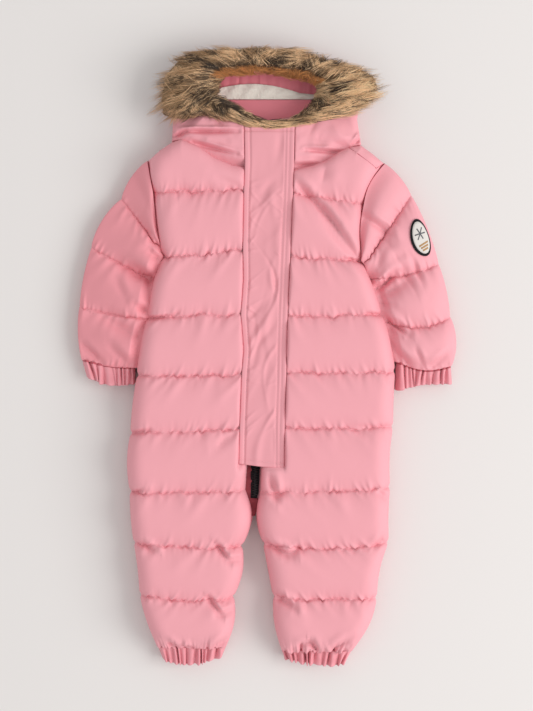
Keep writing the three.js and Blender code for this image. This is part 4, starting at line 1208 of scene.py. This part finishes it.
turns = np.linspace(0, 2 * math.pi, 48, endpoint=False)
oval = [(math.cos(t), math.sin(t)) for t in turns]
badge_ground_cloth = woven("badge ground", (0.66, 0.63, 0.6), 0.8, weave=0.0002, lumps=0)
badge_black = woven("badge edge", (0.012, 0.012, 0.014), 0.7, weave=0.0001, lumps=0)
badge_grey = woven("badge grey", (0.12, 0.12, 0.13), 0.7, weave=0.0001, lumps=0)
badge_tan = woven("badge tan", (0.42, 0.25, 0.12), 0.7, weave=0.0001, lumps=0)
badge = badge_patch("sleeve badge", oval, 0.5, 1.7, badge_black, node="sleeve_patch")
badge_patch("badge ground", [(0.8 * x, 0.86 * y) for x, y in oval], 1.4, 1.95, badge_ground_cloth)
HALF_WIDE, HALF_LONG = 13, 22  # the badge's own unit each way, in millimetres


def bar(ax, ay, bx, by, wide):
    """Outline of a straight bar on the badge from a to b."""
    dx, dy = (bx - ax) * HALF_WIDE, (by - ay) * HALF_LONG
    size = math.hypot(dx, dy)
    nx, ny = -dy / size * wide / HALF_WIDE, dx / size * wide / HALF_LONG
    mx, my = (ax + bx) / 2, (ay + by) / 2
    there = [(ax + nx, ay + ny), (ax - nx, ay - ny), (mx - nx, my - ny)]
    return there + [(bx - nx, by - ny), (bx + nx, by + ny), (mx + nx, my + ny)]


for i in range(3):
    turn = i * math.pi / 3 + 0.3
    dx, dy = 7.2 * math.cos(turn) / HALF_WIDE, 7.2 * math.sin(turn) / HALF_LONG
    badge_patch(f"badge arm {i}", bar(-dx, -dy - 0.22, dx, dy - 0.22, 0.7), 1.8, 2.3, badge_grey, rings=3)
for i in range(3):
    y = 0.34 + 0.15 * i
    reach = 0.5 - 0.1 * i
    badge_patch(f"badge bar {i}", bar(-reach, y, reach, y, 1.0), 1.8, 2.3, badge_tan, rings=3)

# Fur trim
# Long-pile fur round the mouth of the hood: a dark ground ring under locks of
# tapered strands that lie outwards, with shorter warm ones over the inner edge.
# outer x and y, inner x and y, how far the locks hang beyond the hood
FUR = np.array([
    (-6, 371.2, -6, 340.2, 1),
    (39.6, 366.6, 27.6, 336.6, 0.4),
    (69.6, 358.2, 46.8, 331.8, 0),
    (99.6, 351, 60, 325.8, 0.6),
    (133.2, 337.8, 64, 320, 1),
    (139.2, 322.2, 63, 314, 0.7),
    (127, 305, 59, 306, 0.2),
    (101, 290, 52, 297, 0),
    (66, 281, 41, 288.5, 0),
    (27.6, 274.5, 26, 282.5, 0),
    (1.2, 273, 2, 280, 0),
    (-22.8, 274, -21, 289, 0),
    (-50.4, 281, -40, 300, 0),
    (-80.4, 285, -54, 306.5, 0),
    (-106.8, 280.2, -60, 314, 0),
    (-130.8, 285, -60, 322, 0.5),
    (-133, 311.4, -57.5, 329.4, 1),
    (-126, 339, -53.5, 334.2, 1),
    (-108, 359.4, -45, 337.8, 1),
    (-75, 369, -32.4, 339, 1),
    (-38.4, 370.8, -20.4, 339.6, 1),
])
FUR_LOW = 35.2
# share across the ring from the mouth, height there, and how far the locks hang down where they pass the hood
ACROSS = (0, 0.1, 0.34, 0.62, 0.86, 1, 1.15)
HEIGHT = (0.1, 0.5, 0.85, 0.9, 0.5, 0.1, 0)
HUNG = (0, 0, 0, 0, -1, -13, -20)
CHARCOAL, SABLE, TAN = (0.06, 0.04, 0.027), (0.2, 0.12, 0.06), (0.58, 0.36, 0.19)
BEIGE, RUST = (0.9, 0.62, 0.37), (0.68, 0.3, 0.1)
# how far the locks lean round the ring, one value for each row of FUR
SWEEP = [
    0, 0, 0.004, 0.008, 0, -0.015, -0.035, -0.05, -0.06, -0.06, -0.05, -0.05, -0.06, -0.05, -0.03, -0.01,
    0, 0.006, 0.01, 0, 0,
]


def fur_place(p, r):
    """Points over the ring at share p round it and share r across it, and its width there."""
    at = (p % 1) * len(FUR)
    k = at.astype(int) % len(FUR)
    t = (at - at.astype(int))[..., None]
    row = FUR[k] * (1 - t) + FUR[(k + 1) % len(FUR)] * t
    out, inn, hang = row[..., 0:2], row[..., 2:4], row[..., 4]
    wide = np.hypot(*(out - inn).T).T
    xy = inn + (out - inn) * r[..., None]
    tall = np.minimum(17, 3 + wide * 0.42)
    z = FUR_LOW + 1 + tall * np.interp(r, ACROSS, HEIGHT) + np.interp(r, ACROSS, HUNG) * hang
    return np.concatenate([xy, z[..., None]], -1), wide


def fur_ground():
    """Dark ring under the locks, of one section with its share across and its height at each corner."""
    stations = 120
    section = [(0.06, 0.1), (0.15, 0.6), (0.4, 0.9), (0.65, 0.9), (0.82, 0.5), (0.9, 0.1), (0.7, 0), (0.3, 0)]
    p = np.repeat(np.arange(stations) / stations, len(section))
    r = np.tile([s[0] for s in section], stations)
    points, wide = fur_place(p, r)
    high = np.tile([s[1] for s in section], stations)
    points[:, 2] = FUR_LOW + 0.2 + np.minimum(13, 2 + wide * 0.33) * high
    n = len(section)
    faces = [
        (i * n + j, ((i + 1) % stations) * n + j, ((i + 1) % stations) * n + (j + 1) % n, i * n + (j + 1) % n)
        for i in range(stations)
        for j in range(n)
    ]
    return outside_out(mesh_from("fur ground", metres(points), faces))


def fur_strands(name, seed, clumps, each, root, tip, lift, inward, tint):
    """Locks of tapered strands, each with its own place, sweep, curl and colours from root to tip."""
    rng = np.random.default_rng(seed)
    lengths = np.hypot(*np.diff(FUR[:, 0:2], axis=0, append=FUR[:1, 0:2]).T)
    station = rng.choice(len(FUR), clumps, p=lengths / lengths.sum()) + rng.random(clumps)
    clump_p = station / len(FUR)
    drift = np.interp(station, np.arange(len(FUR)), SWEEP) + rng.normal(0, 0.021, clumps)
    drift += 0.008 * np.sin(clump_p * 60)
    clump_root, clump_tip = rng.uniform(*root, clumps), rng.uniform(*tip, clumps)
    clump_lift = rng.uniform(*lift, clumps)
    shade = rng.random(clumps) - 0.3 * np.exp(-(((clump_root - 0.1) / 0.16) ** 2))
    which = np.repeat(np.arange(clumps), each)
    count = len(which)
    t = np.array([0, 0.34, 0.68, 1])
    spread = rng.normal(0, 1, (count, 2))
    # strands start apart and close up towards the tip of their lock
    wave = rng.normal(0, 0.006, clumps)[which][:, None] * np.sin(t * 5)
    p = clump_p[which][:, None] + drift[which][:, None] * t ** 1.2
    p += spread[:, :1] * 0.011 * (1 - 0.8 * t) + wave
    r = clump_root[which][:, None] + rng.normal(0, 0.05, (count, 1))
    r = r + (clump_tip - clump_root)[which][:, None] * t * rng.uniform(0.7, 1.1, (count, 1))
    wide = fur_place(p, np.zeros_like(p))[1]
    points, wide = fur_place(p, np.maximum(np.clip(r, -0.25, 1.2), -inward / wide))
    rise = clump_lift[which][:, None] * np.sin(t * 2.2) + np.abs(spread[:, 1:]) * 0.8
    points[..., 2] += np.where(wide < 20, 0.5, 1) * rise
    curl = rng.normal(0, 1.2, (count, 2)) + rng.normal(0, 1.3, (clumps, 2))[which]
    points[..., :2] += curl[:, None, :] * np.sin(math.pi * t)[None, :, None]
    along = np.gradient(points, axis=1)
    side = np.cross(along, (0, 0, 1.0))
    side /= np.linalg.norm(side, axis=-1, keepdims=True) + 1e-9
    up = np.cross(side, along)
    up /= np.linalg.norm(up, axis=-1, keepdims=True) + 1e-9
    size = rng.uniform(0.18, 0.36, (count, 1)) * np.array([0.8, 1.0, 0.75, 0.0])[None, :]
    ring = []
    for a in (0.5, 7 / 6, 11 / 6):
        ring.append(points + size[..., None] * (side * math.cos(a * math.pi) + up * math.sin(a * math.pi)))
    body = np.stack(ring, 2)[:, :3].reshape(count, 9, 3)
    verts = np.concatenate([body, points[:, 3:4]], 1).reshape(-1, 3)
    pattern = grid_faces(3, 3, ring=True) + [(6 + c, 6 + (c + 1) % 3, 9) for c in range(3)] + [(2, 1, 0)]
    faces = [tuple(10 * i + corner for corner in face) for i in range(count) for face in pattern]
    obj = outside_out(mesh_from(name, metres(verts), faces))
    stops = tint(shade[which], p[:, 0], rng.random(count))
    colours = np.zeros((count, 4, 3))
    for j, step in enumerate(t):
        low = min(step * 3, 2.999)
        k = int(low)
        colours[:, j] = stops[:, k] * (1 - low + k) + stops[:, k + 1] * (low - k)
    vertex = np.concatenate([np.repeat(colours[:, :3], 3, axis=1), colours[:, 3:4]], 1).reshape(-1, 3)
    layer = obj.data.color_attributes.new("pile", "FLOAT_COLOR", "POINT")
    layer.data.foreach_set("color", np.concatenate([vertex, np.ones((len(vertex), 1))], 1).reshape(-1))
    return obj


def long_tint(shade, p, rand):
    """Four stops from root to tip for each strand: dark ground hairs and pale-tipped guard hairs."""
    stops = np.zeros((len(shade), 4, 3))
    shade = shade + 0.36 * (rand - 0.5)
    right = np.exp(-(((p % 1 - 0.26) / 0.12) ** 2))
    dark = shade < 0.17 + 0.26 * np.exp(-(((p % 1 - 0.58) / 0.09) ** 2)) - 0.17 * right
    for i, pair in enumerate([(CHARCOAL, CHARCOAL), (CHARCOAL, SABLE), (CHARCOAL, TAN), (TAN, BEIGE)]):
        stops[:, i] = np.where(dark[:, None], pair[0], pair[1])
    pale = (shade > 0.62 - 0.46 * right)[:, None]
    stops[:, :] = np.where(pale[:, :, None], np.array([TAN, BEIGE, BEIGE, BEIGE])[None], stops)
    return np.minimum(stops * (0.8 + 0.36 * rand + 0.12 * right)[:, None, None], 1)


def short_tint(shade, p, rand):
    """Rust-coloured pile over the top of the mouth, the colours of the long locks elsewhere."""
    top = (p % 1 < 0.16) | (p % 1 > 0.8)
    stops = long_tint(shade, p, rand) * 0.9
    for i, colour in enumerate([CHARCOAL, RUST, RUST, RUST]):
        stops[:, i] = np.where(top[:, None], np.array(colour) * (0.6 + 0.6 * rand)[:, None], stops[:, i])
    return stops


# the strands carry their colours as an attribute
fur_cloth, fur_shader = new_material("fur", 0.55)
pile = fur_cloth.node_tree.nodes.new("ShaderNodeAttribute")
pile.attribute_name = "pile"
fur_cloth.node_tree.links.new(pile.outputs["Color"], fur_shader.inputs["Base Color"])

ground = fur_ground()
give(ground, "fur", plain("fur ground", (0.13, 0.085, 0.05), 0.9), "fur_trim")
# name, seed, locks, strands in each, roots and tips across the ring, lift, reach into the mouth, colours
LOCKS = [
    ("fur under locks", 91, 380, 26, (0.12, 0.5), (0.75, 1.02), (0, 2), 0, long_tint),
    ("fur upper locks", 92, 470, 25, (0.12, 0.6), (0.65, 1.14), (1, 6), 0, long_tint),
    ("fur inner locks", 93, 240, 22, (0.14, 0.3), (-0.2, 0.04), (0, 2.5), 4, short_tint),
]
for name, seed, clumps, each, root, tip, lift, inward, tint in LOCKS:
    strands = fur_strands(name, seed, clumps, each, root, tip, lift, inward, tint)
    give(strands, "fur", fur_cloth)

# Surface, light and camera
# The garment lies on a plain pale surface, seen from straight above, lit softly
# from the right with a faint shadow on its left.
bpy.ops.mesh.primitive_plane_add(size=40, location=(0, 0, -0.0004))
surface = bpy.context.object
surface.name = "surface"
surface.data.materials.append(plain("surface", (0.745, 0.723, 0.713), 0.9))
world = bpy.data.worlds.new("studio")
bpy.context.scene.world = world
world.use_nodes = True
world.node_tree.nodes["Background"].inputs["Color"].default_value = (1.0, 0.985, 0.975, 1)
world.node_tree.nodes["Background"].inputs["Strength"].default_value = 0.735

light = bpy.data.lights.new("key light", "AREA")
light.size, light.energy, light.color = 2.7, 109, (1.0, 0.985, 0.97)
key = bpy.data.objects.new("key light", light)
bpy.context.scene.collection.objects.link(key)
key.location = (3.2, -0.55, 2.4)
x, y, z = key.location
key.rotation_euler = (math.atan2(math.hypot(x, y), z), 0, math.atan2(-x, y) + math.pi)  # aimed at the garment
eye = bpy.data.cameras.new("camera")
eye.sensor_width, eye.lens = 36, 100.4
camera = bpy.data.objects.new("camera", eye)
bpy.context.scene.collection.objects.link(camera)
camera.location = ((-0.6 - MIDDLE[0]) / 1000, (2.4 - MIDDLE[1]) / 1000, 2.4)
bpy.context.scene.camera = camera
bpy.context.scene.view_settings.view_transform = "Standard"
